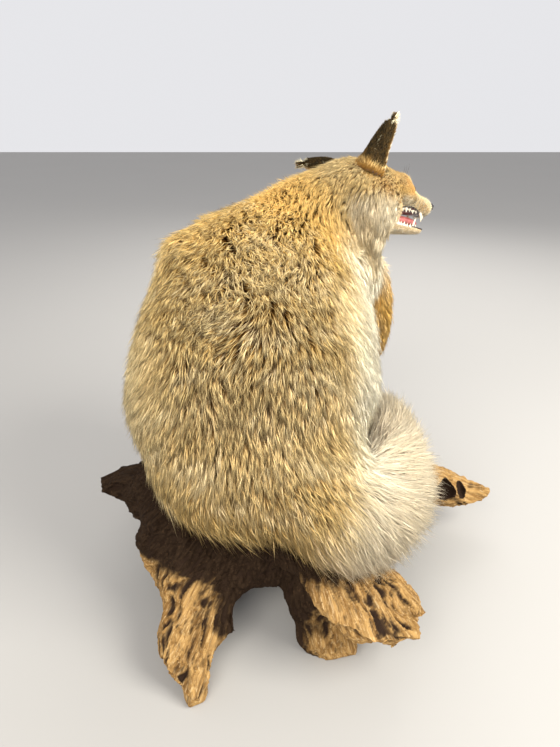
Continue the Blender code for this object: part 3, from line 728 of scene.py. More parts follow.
# The outline of the open mouth, seen from the side: y and z in the head's frame, from the corner along the
# raised upper lip to the front and back along the lower lip
MOUTH = [
    (0.0485, -0.0240), (0.0515, -0.0180), (0.0590, -0.0143), (0.0760, -0.0125), (0.0900, -0.0152),
    (0.1000, -0.0188), (0.1130, -0.0210), (0.1350, -0.0222), (0.1350, -0.0420), (0.1130, -0.0408),
    (0.1000, -0.0395), (0.0860, -0.0382), (0.0680, -0.0358), (0.0540, -0.0298),
]
UPPER_LIP_POINTS = 8
MOUTH_HALF_WIDTH = 0.0245
LEFT_CORNER = 0.060  # the left corner of the mouth, where the ruff comes further forward


def outline_block(outline, low, high, place, axes):
    """A closed block: a smooth outline in two axes, drawn out along the third from low to high."""
    smooth = catmull([*outline, outline[0]], 4)[:-1]

    def spot(depth, pair):
        made = Vector((0, 0, 0))
        made[axes[0]], made[axes[1]], made[axes[2]] = *pair, depth
        return place @ made

    def build(shape):
        rings = [[shape.verts.new(spot(depth, pair)) for pair in smooth] for depth in (low, high)]
        bridge(shape, *rings)
        for ring in rings:
            shape.faces.new(ring)

    return mesh_of(build)


def mouth_cutters():
    """The mouth's opening on each side."""
    left = [(max(y, LEFT_CORNER), z) for y, z in MOUTH]
    return [outline_block(MOUTH, -0.001, MOUTH_HALF_WIDTH, HEAD, (1, 2, 0)),
            outline_block(left, -MOUTH_HALF_WIDTH, 0.0, HEAD, (1, 2, 0))]


def lid_cutter(side):
    """The almond opening between an eye's lids, its outer corner higher than its inner one."""
    outline = [(-0.0086, -0.0020), (-0.0050, 0.0026), (0.0, 0.0054), (0.0050, 0.0052), (0.0082, 0.0024),
               (0.0046, -0.0030), (0.0, -0.0042), (-0.0048, -0.0040)]
    return outline_block([(side * x, z) for x, z in outline], 0.002, 0.03, eye_frame(side), (0, 2, 1))


def sculpted_face(points):
    """How far the skin of the face moves outward, by its place in the head's frame."""
    x, y, z = points.T
    side = np.abs(x)

    def lump(across, along, above, width):
        return bell(np.sqrt((side - across) ** 2 + (y - along) ** 2 + (z - above) ** 2), width)

    muzzle = smoothstep(y, 0.056, 0.068) * (1 - smoothstep(y, 0.104, 0.114)) * smoothstep(z, -0.022, -0.012)
    folds = np.sin((y + 0.62 * side - 0.55 * z) * 2 * math.pi / 0.0088)
    move = 0.0006 * muzzle * folds * (1 - bell(side, 0.0030) * 0.6)
    bridge_line = smoothstep(y, 0.030, 0.046) * (1 - smoothstep(y, 0.106, 0.118)) * (z > -0.002)
    move -= 0.0016 * bell(x, 0.0030) * bridge_line
    brow, pad = lump(0.019, 0.047, 0.024, 0.010), lump(0.013, 0.106, -0.012, 0.009)
    return move + 0.0012 * brow + 0.0012 * pad - 0.0020 * lump(0.024, 0.072, -0.002, 0.009)


# Coat of each length of the body: hair length, coat depth, hair width, tufts per square centimetre, untidiness
COAT = {
    "trunk": (0.036, 0.016, 0.00092, 60, 0.24),
    "neck": (0.030, 0.013, 0.00082, 68, 0.22),
    "head": (0.016, 0.0045, 0.00066, 130, 0.18),
    "lower_jaw": (0.008, 0.0022, 0.00058, 150, 0.12),
    "upper_arm": (0.022, 0.008, 0.00095, 62, 0.14),
    "forearm": (0.012, 0.0040, 0.00078, 90, 0.12),
    "fore_paw": (0.007, 0.0020, 0.00065, 110, 0.10),
    "thigh": (0.032, 0.014, 0.00092, 56, 0.20),
    "shank": (0.015, 0.006, 0.00090, 70, 0.14),
    "hind_foot": (0.010, 0.0030, 0.00075, 95, 0.12),
    "hind_paw": (0.007, 0.0020, 0.00065, 110, 0.10),
    "tail": (0.058, 0.020, 0.00084, 74, 0.20),
}
MOST_TUFTS = 275000
MOST_TRIANGLES = 199000

# The lie of the coat: places and the way that the hair points there, in the model and in the head's frame
LIE = [
    ((-0.01, 0.13, 0.49), (-0.15, -1.0, 0.05)), ((-0.03, 0.05, 0.49), (0.0, -1.0, -0.2)),
    ((-0.06, -0.02, 0.47), (0.0, -1.0, -0.5)), ((-0.06, -0.09, 0.41), (0.02, -0.6, -0.8)),
    ((-0.06, -0.15, 0.32), (0.05, -0.3, -1.0)), ((-0.05, -0.18, 0.24), (0.15, -0.2, -1.0)),
    ((-0.05, -0.15, 0.15), (0.15, -0.1, -1.0)), ((-0.15, 0.08, 0.45), (-0.8, -0.5, -0.3)),
    ((-0.18, -0.04, 0.40), (-0.55, -0.6, -0.55)), ((-0.20, -0.08, 0.32), (-0.35, -0.4, -0.9)),
    ((-0.18, -0.14, 0.22), (-0.15, -0.3, -1.0)), ((-0.22, 0.02, 0.26), (-0.3, -0.4, -0.9)),
    ((0.06, 0.06, 0.44), (0.75, -0.6, -0.4)), ((0.08, -0.04, 0.39), (0.60, -0.5, -0.65)),
    ((0.09, -0.09, 0.31), (0.45, -0.35, -0.9)), ((0.07, -0.14, 0.24), (0.40, -0.3, -0.9)),
    ((0.10, 0.04, 0.30), (0.35, -0.4, -0.9)), ((-0.03, 0.23, 0.40), (0.0, 0.15, -1.0)),
    ((-0.03, 0.15, 0.28), (0.0, -0.2, -1.0)), ((-0.16, 0.13, 0.34), (-0.15, -0.2, -1.0)),
    ((0.11, 0.13, 0.34), (0.15, -0.2, -1.0)), ((-0.15, 0.16, 0.24), (0.1, 0.15, -1.0)),
    ((0.09, 0.16, 0.24), (-0.1, 0.15, -1.0)), ((-0.12, 0.20, 0.19), (0.0, 1.0, -0.4)),
    ((0.06, 0.20, 0.19), (0.0, 1.0, -0.4)), ((-0.16, 0.04, 0.19), (0.0, 0.9, -0.4)),
    ((0.03, 0.04, 0.19), (0.0, 0.9, -0.4)), ((-0.16, 0.12, 0.18), (0.0, 1.0, -0.4)),
    ((0.03, 0.12, 0.18), (0.0, 1.0, -0.4)), ((0.00, -0.15, 0.20), (0.6, -0.5, -0.7)),
    ((0.04, -0.18, 0.16), (0.35, -0.3, -0.9)), ((0.10, -0.17, 0.15), (0.55, -0.1, -0.85)),
    ((0.15, -0.11, 0.16), (0.75, 0.30, -0.6)), ((0.16, -0.03, 0.17), (0.60, 0.75, -0.4)),
    ((0.11, -0.08, 0.22), (0.75, 0.10, -0.1)), ((0.12, 0.02, 0.21), (0.25, 1.0, 0.0)),
    ((0.12, 0.08, 0.19), (0.1, 1.0, -0.1)), ((0.05, 0.10, 0.52), (-0.55, -0.65, -0.35)),
    ((0.03, 0.06, 0.47), (-0.1, -0.65, -0.75)), ((0.07, 0.07, 0.44), (0.15, -0.35, -0.95)),
    ((-0.02, 0.20, 0.47), (-0.4, 0.1, -0.9)),
]
HEAD_LIE = [
    ((0.0, 0.110, 0.006), (0.0, -1.0, 0.15)), ((0.0, 0.075, 0.018), (0.0, -1.0, 0.25)),
    ((0.0, 0.040, 0.034), (0.0, -1.0, 0.15)), ((0.0, 0.0, 0.042), (0.0, -1.0, -0.1)),
    ((0.0, -0.04, 0.030), (0.0, -0.9, -0.5)), ((0.016, 0.095, -0.008), (0.15, -1.0, -0.25)),
    ((0.030, 0.060, -0.008), (0.35, -1.0, -0.35)), ((0.040, 0.030, 0.006), (0.45, -1.0, -0.15)),
    ((0.045, 0.010, -0.015), (0.45, -0.75, -0.55)), ((0.058, -0.020, -0.035), (0.25, -0.35, -0.95)),
    ((0.045, -0.015, -0.075), (0.05, -0.15, -1.0)), ((0.040, -0.030, 0.012), (0.5, -0.7, -0.5)),
    ((0.010, 0.090, -0.055), (0.1, -1.0, -0.1)), ((0.018, 0.045, -0.055), (0.15, -1.0, -0.35)),
    ((0.0, 0.0, -0.075), (0.0, -0.4, -0.9)),
]
LIE_REACH, HEAD_LIE_REACH = 0.045, 0.020
TOUSLED_PLACE, TOUSLED_REACH = (-0.105, -0.035, 0.445), 0.075


def ripple(points, size, seed, waves=9):
    """A smooth wandering value about 0 with lumps of a size, the same on each run."""
    source = np.random.default_rng(seed)
    ways = source.normal(size=(waves, 3)) * (3.4 / size)
    return np.sin(points @ ways.T + source.uniform(0, 2 * math.pi, waves)).sum(1) / math.sqrt(waves)


def lie_of_coat(points, normals):
    """The way the hair points at each place on the skin."""
    both = [(Vector((side * s[0], s[1], s[2])), Vector((side * w[0], w[1], w[2])))
            for s, w in HEAD_LIE for side in BOTH]
    spots = np.vstack([np.array([spot for spot, way in LIE]), [HEAD @ spot for spot, way in both]])
    ways = np.vstack([unit(np.array([way for spot, way in LIE], float)),
                      unit(np.array([HEAD.to_3x3() @ way for spot, way in both]))])
    flow = np.zeros_like(points)
    for number, (spot, way) in enumerate(zip(spots, ways)):
        distance = away(points, spot) / (LIE_REACH if number < len(LIE) else HEAD_LIE_REACH)
        flow += (1.0 / (0.15 + distance ** 2) ** 2)[:, None] * way
    flow = unit(flow - normals * (flow * normals).sum(1, keepdims=True))
    stray = np.column_stack([ripple(points, 0.045, seed) for seed in (1, 2, 3)])
    flow += stray * (0.16 + bell(away(points, TOUSLED_PLACE), TOUSLED_REACH))[:, None]
    return unit(flow - normals * (flow * normals).sum(1, keepdims=True))


def spine_x(y):
    """The fox's midline along its back: it leans to its right at the shoulders."""
    return -0.064 + 0.042 * smoothstep(y, -0.05, 0.14)


def coat_colours(points, weights):
    """The coat's colour and the strength of its dark banding, from a place and the parts of the body there."""
    x, y, z = points.T
    hx, hy, hz = in_frame(points, HEAD).T
    side = np.abs(hx)
    trunk, neck, tail, upper_arm = (weights[key] for key in ("trunk", "neck", "tail", "upper_arm"))
    on_head = weights["head"] + weights["lower_jaw"]
    body = 1 - np.clip(on_head, 0, 1)
    wander = ripple(points, 0.060, 11) * 0.5 + ripple(points, 0.022, 12) * 0.35
    colour = np.tile(tone("straw"), (len(points), 1))
    banding = np.full(len(points), 0.40)

    def paint(name, mask):
        nonlocal colour
        mask = np.clip(mask, 0, 1)[:, None]
        colour = colour * (1 - mask) + tone(name) * mask

    rear = 1 - smoothstep(y - 0.5 * (z - 0.3), 0.09, 0.19)
    across = np.abs(x - spine_x(y)) + 0.020 * wander
    saddle = (1 - smoothstep(across, 0.035, 0.115)) * rear * trunk
    upper = smoothstep(z, 0.28, 0.40)
    paint("saddle", saddle * (0.42 + 0.46 * upper))
    tousled = bell(away(points, TOUSLED_PLACE), 0.09)
    banding = banding + (0.14 + 0.34 * upper) * saddle + 0.40 * trunk * rear * tousled
    paint("dark", 0.27 * saddle * upper)
    withers = np.maximum(
        bell(away(points, (-0.04, 0.07, 0.485)), 0.095), bell(away(points, (0.02, 0.05, 0.465)), 0.06))
    paint("gold", (withers * (0.95 + 0.3 * wander)) * body)
    banding = banding - 0.35 * withers
    # The right side is painted cream and white, with fewer dark bands: partly the fox's own pale flank, partly
    # painted light falling on that side from the right.
    pale = smoothstep(x + 0.016 * wander, 0.008, 0.062) * (1 - smoothstep(z, 0.46, 0.50)) * body
    paint("cream", pale * 0.92)
    paint("white", smoothstep(x, 0.018, 0.058) * 0.80 * (1 - smoothstep(z, 0.44, 0.48)) * body)
    banding = banding - 0.42 * pale
    paint("cream", smoothstep(-x + 0.016 * wander, 0.145, 0.205) * body * 0.50)
    belly = smoothstep(y - 0.35 * (z - 0.3), 0.13, 0.19) * trunk
    paint("white", belly * 0.8)
    banding = banding - 0.25 * belly

    patch = ripple(points, 0.030, 14) + 0.5 * ripple(points, 0.012, 15)
    warm = trunk * (1 - 0.85 * np.clip(pale, 0, 1))
    paint("gold", 0.42 * smoothstep(patch, 0.2, 1.3) * warm)
    paint("cream", 0.45 * smoothstep(-patch, 0.3, 1.4) * warm)
    paint("cream", 0.16 * smoothstep(z, 0.22, 0.27) * (1 - smoothstep(z, 0.33, 0.39)) * warm)
    banding = banding + 0.16 * patch * warm * rear

    paint("grey", neck * (0.22 + 0.4 * wander))
    paint("gold", neck * 0.30 * (1 + wander))
    throat = neck * smoothstep(y, 0.16, 0.20)
    paint("white", throat * 0.8)
    banding = banding + 0.12 * neck * (1 - throat) + 0.1 * wander

    paint("brush", tail)
    banding = banding * (1 - tail) + tail * (0.24 + 0.14 * wander)
    paint("white", tail * smoothstep(y, 0.05, 0.10))
    paint("saddle", tail * (1 - smoothstep(x, -0.02, 0.05)) * 0.45)

    arms = upper_arm * smoothstep(y + 0.01 * wander, 0.080, 0.115) * (1 - smoothstep(z, 0.35, 0.43))
    arms = arms + trunk * smoothstep(y, 0.13, 0.17) * smoothstep(np.abs(x + 0.03), 0.085, 0.125) * (
        1 - smoothstep(z, 0.35, 0.41))
    arms = np.clip(arms + weights["forearm"] + weights["fore_paw"], 0, 1)
    paint("rust", arms * (0.86 + 0.25 * wander))
    paint("gold", upper_arm * arms * smoothstep(z, 0.25, 0.32) * 0.9)
    paint("rust", (weights["hind_foot"] + weights["shank"] * 0.6 + weights["hind_paw"]) * 0.8)
    paint("dark", weights["fore_paw"] * 0.55 + weights["hind_paw"] * 0.40)
    banding = banding * (1 - arms * 0.75)

    paint("straw", on_head)
    crown = on_head * (1 - smoothstep(hy, 0.000, 0.030))
    paint("grey", crown * (0.70 + 0.4 * wander))
    banding = banding + 0.12 * crown
    brow = on_head * smoothstep(hz, 0.004, 0.016) * smoothstep(hy, 0.012, 0.034) * (
        1 - smoothstep(hy, 0.066, 0.084))
    paint("rust", brow * (0.18 + 0.3 * wander))
    paint("grey", brow * 0.55)
    folded = np.column_stack([side, hy, hz])
    under_ear = bell(away(folded, (0.046, -0.004, 0.006)), 0.014)
    paint("rust", under_ear * 0.95)
    paint("dark", under_ear * 0.25)
    ruff = on_head * smoothstep(side, 0.022, 0.036) * (1 - smoothstep(hz, -0.012, 0.004)) * (
        1 - smoothstep(hy, 0.020, 0.040))
    paint("white", ruff * (0.50 + 0.3 * wander))
    banding = banding * (1 - 0.85 * np.clip(ruff, 0, 1))
    lip_line = -0.004 + 0.10 * (hy - 0.05)
    muzzle = on_head * smoothstep(hy, 0.028, 0.050) * (1 - smoothstep(hz - lip_line, -0.006, 0.008))
    paint("white", muzzle)
    paint("cream", on_head * smoothstep(hy, 0.072, 0.088) * 0.45)
    # The grey dims the muzzle: partly its own greyer tone, partly painted shade over the head.
    paint("grey", muzzle * 0.30)
    paint("white", weights["lower_jaw"] * 0.9)
    banding = banding * (1 - 0.8 * np.clip(on_head * smoothstep(hy, 0.02, 0.04), 0, 1))
    paint("dark", bell(away(folded, (0.0205, 0.0665, 0.0035)), 0.0055) * 0.75 * on_head)
    paint("saddle", bell(away(folded, (0.0165, 0.100, -0.010)), 0.0060) * 0.5 * on_head)
    return np.clip(colour * (1 + 0.10 * wander[:, None]), 0.005, 0.95), np.clip(banding, 0.02, 1.0)


def part_of(node):
    """The kind of a node, such as thigh for thigh_left and tail for tail_tip."""
    if node.startswith("tail"):
        return "tail"
    return node.rsplit("_", 1)[0] if node.endswith(("_left", "_right")) else node


def parts_at(surface):
    """How much each point of the surface belongs to each part of the body."""
    corners, faces, owners = [], [], []
    for node in (*FLESH, "head", "lower_jaw"):
        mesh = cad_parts[node].data
        start = len(corners)
        corners += [vertex.co.copy() for vertex in mesh.vertices]
        faces += [tuple(start + index for index in polygon.vertices) for polygon in mesh.polygons]
        owners += [part_of(node)] * len(mesh.polygons)
    tree = BVHTree.FromPolygons(corners, faces)
    names = np.array([owners[tree.find_nearest(Vector(point))[2]] for point in surface.points])
    return {part: surface.evened((names == part).astype(float), 18) for part in COAT}


def coat_fields(surface, weights):
    """Hair length, coat depth, hair width, density and untidiness at each point of the surface."""
    share = np.column_stack([weights[part] for part in COAT])
    share /= share.sum(1, keepdims=True)
    length, depth, width, density, untidy = (share @ np.array(list(COAT.values()))).T
    head = in_frame(surface.points, HEAD)
    hx, hy, hz = head.T
    side = np.abs(hx)
    on_head = np.clip(weights["head"] + weights["lower_jaw"], 0, 1)
    face = on_head * smoothstep(hy, 0.018, 0.050)
    muzzle = on_head * smoothstep(hy, 0.060, 0.084)
    ruff = on_head * smoothstep(side, 0.020, 0.040) * (1 - smoothstep(hz, -0.014, 0.004)) * (
        1 - smoothstep(hy, 0.008, 0.030))
    eye = np.minimum(away(head, (0.027, 0.055, 0.008)), away(head, (-0.027, 0.055, 0.008)))
    bare = 1 - smoothstep(eye, 0.0105, 0.0170)
    length = length * (1 - 0.45 * face) * (1 - 0.35 * muzzle) * (1 - 0.4 * bare)
    length = length + ruff * 0.014 + on_head * (1 - smoothstep(hy, -0.035, 0.010)) * 0.007
    depth = depth * (1 - 0.35 * face) * (1 - 0.30 * muzzle) * (1 - bare) + ruff * 0.006
    y, z = surface.points[:, 1], surface.points[:, 2]
    fringe = (weights["trunk"] + weights["thigh"]) * (1 - smoothstep(z, 0.155, 0.235)) * (
        1 - smoothstep(y, 0.0, 0.08))
    loose = 0.007 + 0.026 * fringe + 0.008 * weights["tail"] - 0.0048 * face - 0.003 * on_head * (1 - face)
    inward = ((surface.evened(surface.points, 6) - surface.points) * surface.normals()).sum(1)
    crease = surface.evened(smoothstep(inward, 0.0003, 0.0012), 2)
    length = (length + 0.018 * fringe) * (1 - 0.55 * crease)
    return {
        "length": length, "depth": depth, "width": width * (1 - 0.22 * face) * (1 - 0.22 * muzzle),
        "density": density * (1 + 0.45 * face + 0.75 * muzzle) * (1 - 0.35 * ruff),
        "untidy": untidy + 0.08 * fringe + 0.30 * bell(away(surface.points, TOUSLED_PLACE), TOUSLED_REACH),
        "ruff": ruff, "calm": face, "loose": loose * (1 - crease),
        "bent": 0.28 * (1 - crease) * (1 - face) * (1 - smoothstep(0.020 - length, 0.0, 0.010)),
    }


# Tufts of hair


UV_PATCH = 0.003
CORNERS = 3


def box_unwrap(points, normals, cells=(3, 2), margin=0.01):
    """Places on a map of the skin, unwrapped onto the six sides of a box that are laid out in a grid."""
    axis = np.abs(normals).argmax(1)
    facing = normals[np.arange(len(points)), axis] > 0
    low, high = points.min(0), points.max(0)
    scaled = (points - low) / np.maximum(high - low, 1e-6)
    place = np.empty((len(points), 2))
    for k in range(3):
        place[axis == k] = np.delete(scaled[axis == k], k, axis=1)
    size = 1 / np.array(cells)
    return np.column_stack([axis, facing.astype(int)]) * size + margin + place * (size - 2 * margin - UV_PATCH)


def spike_faces(rings):
    """The faces of a closed three-sided spike of one or more rings, and their corners' places on its patch."""
    faces, places = [(0, 2, 1)], [((0, 0), (0.05, 0), (0, 0.05))]
    for ring in range(rings):
        first, low, high = ring * CORNERS, ring / rings, (ring + 1) / rings
        for k in range(CORNERS):
            after, left, right = (k + 1) % CORNERS, k / CORNERS, (k + 1) / CORNERS
            if ring < rings - 1:
                faces.append((first + k, first + after, first + CORNERS + after, first + CORNERS + k))
                places.append(((left, low), (right, low), (right, high), (left, high)))
            else:
                faces.append((first + k, first + after, rings * CORNERS))
                places.append(((left, low), (right, low), ((left + right) / 2, high)))
    return faces, places


def spike_points(tufts, bent):
    """The spikes' points: straight ones have one ring and a tip, bent ones two and a tip."""
    root, tip, roll = tufts["root"], tufts["tip"], tufts["roll"][:, None]
    stops = [(root, tufts["bend"] - root, 0.80), (tufts["bend"], tip - root, 1.0)] if bent else [
        (root, tip - root, 1.25)]
    rings = []
    for spot, way, factor in stops:
        along = unit(way)
        side = unit(np.cross(tufts["lay"], along))
        up = np.cross(along, side)
        half = tufts["width"][:, None] * factor / 2
        turned = (side * np.cos(roll) + up * np.sin(roll)) * half
        raised = (up * np.cos(roll) - side * np.sin(roll)) * half
        rings += [spot - turned - raised * 0.35, spot + turned - raised * 0.35, spot + raised * 0.75]
    return np.stack([*rings, tip], axis=1)


def tuft_mesh(name, tufts):
    """Closed three-sided tufts, each from a root to its tip, some of them over a bend.

    tufts holds arrays with one entry for each tuft: root, bend, tip, lay (the skin's way out there), width,
    roll, bent, coat_colour, banding and shade.
    """
    blocks, start = [], 0
    for bent in (False, True):
        mask = tufts["bent"] == bent
        if not mask.any():
            continue
        chosen = {key: field[mask] for key, field in tufts.items()}
        faces, places = spike_faces(2 if bent else 1)
        points = spike_points(chosen, bent)
        count, each = points.shape[:2]
        rings = each // CORNERS
        patch = np.array([place for face in places for place in face])
        blocks.append({
            "points": points.reshape(-1, 3),
            "loops": (start + np.arange(count)[:, None] * each + np.concatenate(faces)[None]).ravel(),
            "sizes": np.tile([len(face) for face in faces], count),
            "uv": (box_unwrap(chosen["root"], chosen["lay"])[:, None] + patch[None] * UV_PATCH).reshape(-1, 2),
            "along": np.tile([k // CORNERS / rings for k in range(each)], count),
            **{key: np.repeat(chosen[key], each, axis=0) for key in ("banding", "shade", "coat_colour")},
        })
        start += count * each
    whole = {key: np.concatenate([block[key] for block in blocks]) for key in blocks[0]}
    mesh = bpy.data.meshes.new(name)
    mesh.vertices.add(len(whole["points"]))
    mesh.vertices.foreach_set("co", whole["points"].astype(np.float32).ravel())
    mesh.loops.add(len(whole["loops"]))
    mesh.loops.foreach_set("vertex_index", whole["loops"].astype(np.int32))
    mesh.polygons.add(len(whole["sizes"]))
    starts = np.concatenate([[0], np.cumsum(whole["sizes"])[:-1]])
    mesh.polygons.foreach_set("loop_start", starts.astype(np.int32))
    mesh.update(calc_edges=True)
    mesh.shade_smooth()
    mesh.uv_layers.new(name="OFBake").uv.foreach_set("vector", whole["uv"].astype(np.float32).ravel())
    for label in ("along", "banding", "shade", "coat_colour"):
        keep_values(mesh, label, whole[label])
    return mesh


def scatter(surface, density, count, source):
    """Evenly spread places on a surface: each one's triangle, and its shares of that triangle's corners."""
    total = np.cumsum(surface.areas() * density[surface.triangles].mean(1))
    picks = (np.arange(count) + source.random(count)) / count * total[-1]
    triangle = np.minimum(np.searchsorted(total, picks), len(total) - 1)
    first, second = np.sqrt(source.random(count)), source.random(count)
    return triangle, np.column_stack([1 - first, first * (1 - second), first * second])


def clumped(root, tip, length, clumping, each, source):
    """The tips drawn towards the tip of the clump that each tuft belongs to."""
    leaders = source.choice(len(root), max(len(root) // each, 1), replace=False)
    middles = root + (tip - root) * 0.4
    leader = leaders[nearest(middles[leaders], middles)]
    pull = clumping * (1 - smoothstep(np.linalg.norm(root[leader] - root, axis=1), length * 0.25, length * 0.8))
    return tip + (tip[leader] - tip) * pull[:, None], leader


def comb_body():
    """Roots, bends and tips of all the tufts on the skin, and their values."""
    skin, outside = FOX["skin"], FOX["outside"]
    settings = bpy.context.scene.fox_coat
    source = np.random.default_rng(SEED)
    density = skin.fields["density"]
    wanted = (skin.areas() * density[skin.triangles].mean(1)).sum() * 1e4
    count = int(min(wanted, MOST_TUFTS) * settings.density)
    triangle, shares = scatter(skin, density, count, source)

    def at(field):
        """A field's values at the tufts' roots."""
        return np.einsum("nk,nk...->n...", shares, field[skin.triangles[triangle]])

    root = at(skin.points)
    values = {name: at(field) for name, field in skin.fields.items()}
    lay, flow, depth = unit(values["normal"]), values["lie"], values["depth"]
    flow = unit(flow - lay * (flow * lay).sum(1, keepdims=True))
    length = values["length"] * source.uniform(0.72, 1.18, count)
    turn = source.normal(size=count) * values["untidy"]
    flow = flow * np.cos(turn)[:, None] + np.cross(lay, flow) * np.sin(turn)[:, None]
    tip = root + flow * length[:, None] + lay * depth[:, None] * 0.8
    proud = source.normal(size=count) * 0.10 + np.where(source.random(count) < 0.06, 0.22, 0.0)
    for index in range(count):
        spot, normal = outside.find_nearest(tip[index])[:2]
        tip[index] = spot + normal * (depth[index] * proud[index] - 0.0006)
    tip, leader = clumped(root, tip, length, settings.clumping * (1 - 0.5 * values["calm"]), 12, source)
    stray = values["loose"] * source.random(count) ** 2
    tip += (flow * 0.9 + lay * 0.55) * stray[:, None] + source.normal(size=(count, 3)) * stray[:, None] * 0.25
    reach = np.linalg.norm(tip - root, axis=1)
    kept = (((tip - root) * flow).sum(1) > 0.55 * reach) & (reach < length * 1.5 + 0.004)
    bend = root + (tip - root) * 0.46 + lay * (depth * source.uniform(0.20, 0.42, count) + 0.0004)[:, None]
    bend = bend - lay * (values["ruff"] * 0.001)[:, None]
    root = root - lay * 0.0012
    width = values["width"] * source.uniform(0.70, 1.30, count) * 1.0
    shade = 0.45 * source.random(count) + 0.55 * source.random(count)[leader]
    shade = 0.5 + (shade - 0.5) * (1 - 0.65 * values["calm"])
    part = np.array(list(COAT))[np.column_stack([values[f"part_{name}"] for name in COAT]).argmax(1)]
    tufts = {"root": root, "bend": bend, "tip": tip, "lay": lay, "width": width, "part": part, "shade": shade,
             "roll": source.normal(size=count) * 0.5, "bent": source.random(count) < values["bent"],
             "coat_colour": values["coat_colour"] * (1 + 0.10 * source.normal(size=(count, 1))),
             "banding": np.clip(values["banding"] * (0.45 + 1.1 * source.random(count)), 0, 1)}
    tufts["coat_colour"] = np.clip(tufts["coat_colour"], 0.002, 1)
    return {key: field[kept] for key, field in tufts.items()}


def coat_piece(name, chosen, look, slot):
    """The tufts that a mask chooses, as one piece."""
    tufts = {key: field[chosen] for key, field in FOX["tufts"].items() if key != "part"}
    mesh = tuft_mesh(name, tufts)
    triangles = len(mesh.loops) - 2 * len(mesh.polygons)
    if not 0 < triangles < MOST_TRIANGLES:
        raise RuntimeError(f"{name} has {triangles} triangles, and a piece takes fewer than {MOST_TRIANGLES}")
    add_piece(name, mesh, look, slot=slot)


# Carving


def carved(mesh, cutters):
    """The mesh less each cutter; a cutter is a mesh and the material number of the wall that it leaves."""
    for cutter, wall in cutters:
        tool = bpy.data.objects.new("cutter", cutter)
        bpy.context.scene.collection.objects.link(tool)
        settings = {"operation": "DIFFERENCE", "solver": "MANIFOLD", "object": tool}
        mesh = with_modifiers(mesh, ("BOOLEAN", settings))
        bpy.data.objects.remove(tool, do_unlink=True)
        near = tree_of(cutter)
        for polygon in mesh.polygons:
            found = near.find_nearest(polygon.center, 0.0004)[0]
            if found is not None and (found - polygon.center).length < 0.0001:
                polygon.material_index = wall
    return mesh


def rims(mesh, wall):
    """The closed loops of points along the edge of a wall that carving left."""
    shape = bmesh.new()
    shape.from_mesh(mesh)
    edges = dict.fromkeys(edge for edge in shape.edges
                          if sorted(face.material_index for face in edge.link_faces) == [0, wall])
    loops = []
    while edges:
        edge = edges.popitem()[0]
        loop = [edge.verts[0], edge.verts[1]]
        while following := next((e for e in loop[-1].link_edges if e in edges), None):
            del edges[following]
            loop.append(following.other_vert(loop[-1]))
        loops.append([vertex.co.copy() for vertex in loop])
    shape.free()
    return sorted(loops, key=len, reverse=True)


def even_loop(loop, count, smoothing):
    """A closed loop of a number of evenly spaced, smoothed points."""
    if (loop[0] - loop[-1]).length < 1e-6:
        loop = loop[:-1]
    spots = np.array(loop)
    for _ in range(smoothing):
        spots = (np.roll(spots, 1, 0) + 2 * spots + np.roll(spots, -1, 0)) / 4
    closed = np.vstack([spots, spots[:1]])
    reach = np.concatenate([[0], np.cumsum(np.linalg.norm(np.diff(closed, axis=0), axis=1))])
    marks = np.linspace(0, reach[-1], count, endpoint=False)
    return [Vector([np.interp(mark, reach, closed[:, axis]) for axis in range(3)]) for mark in marks]


# Operators


class FoxOperator:
    """What the operators share."""
    bl_options = {"REGISTER", "UNDO"}


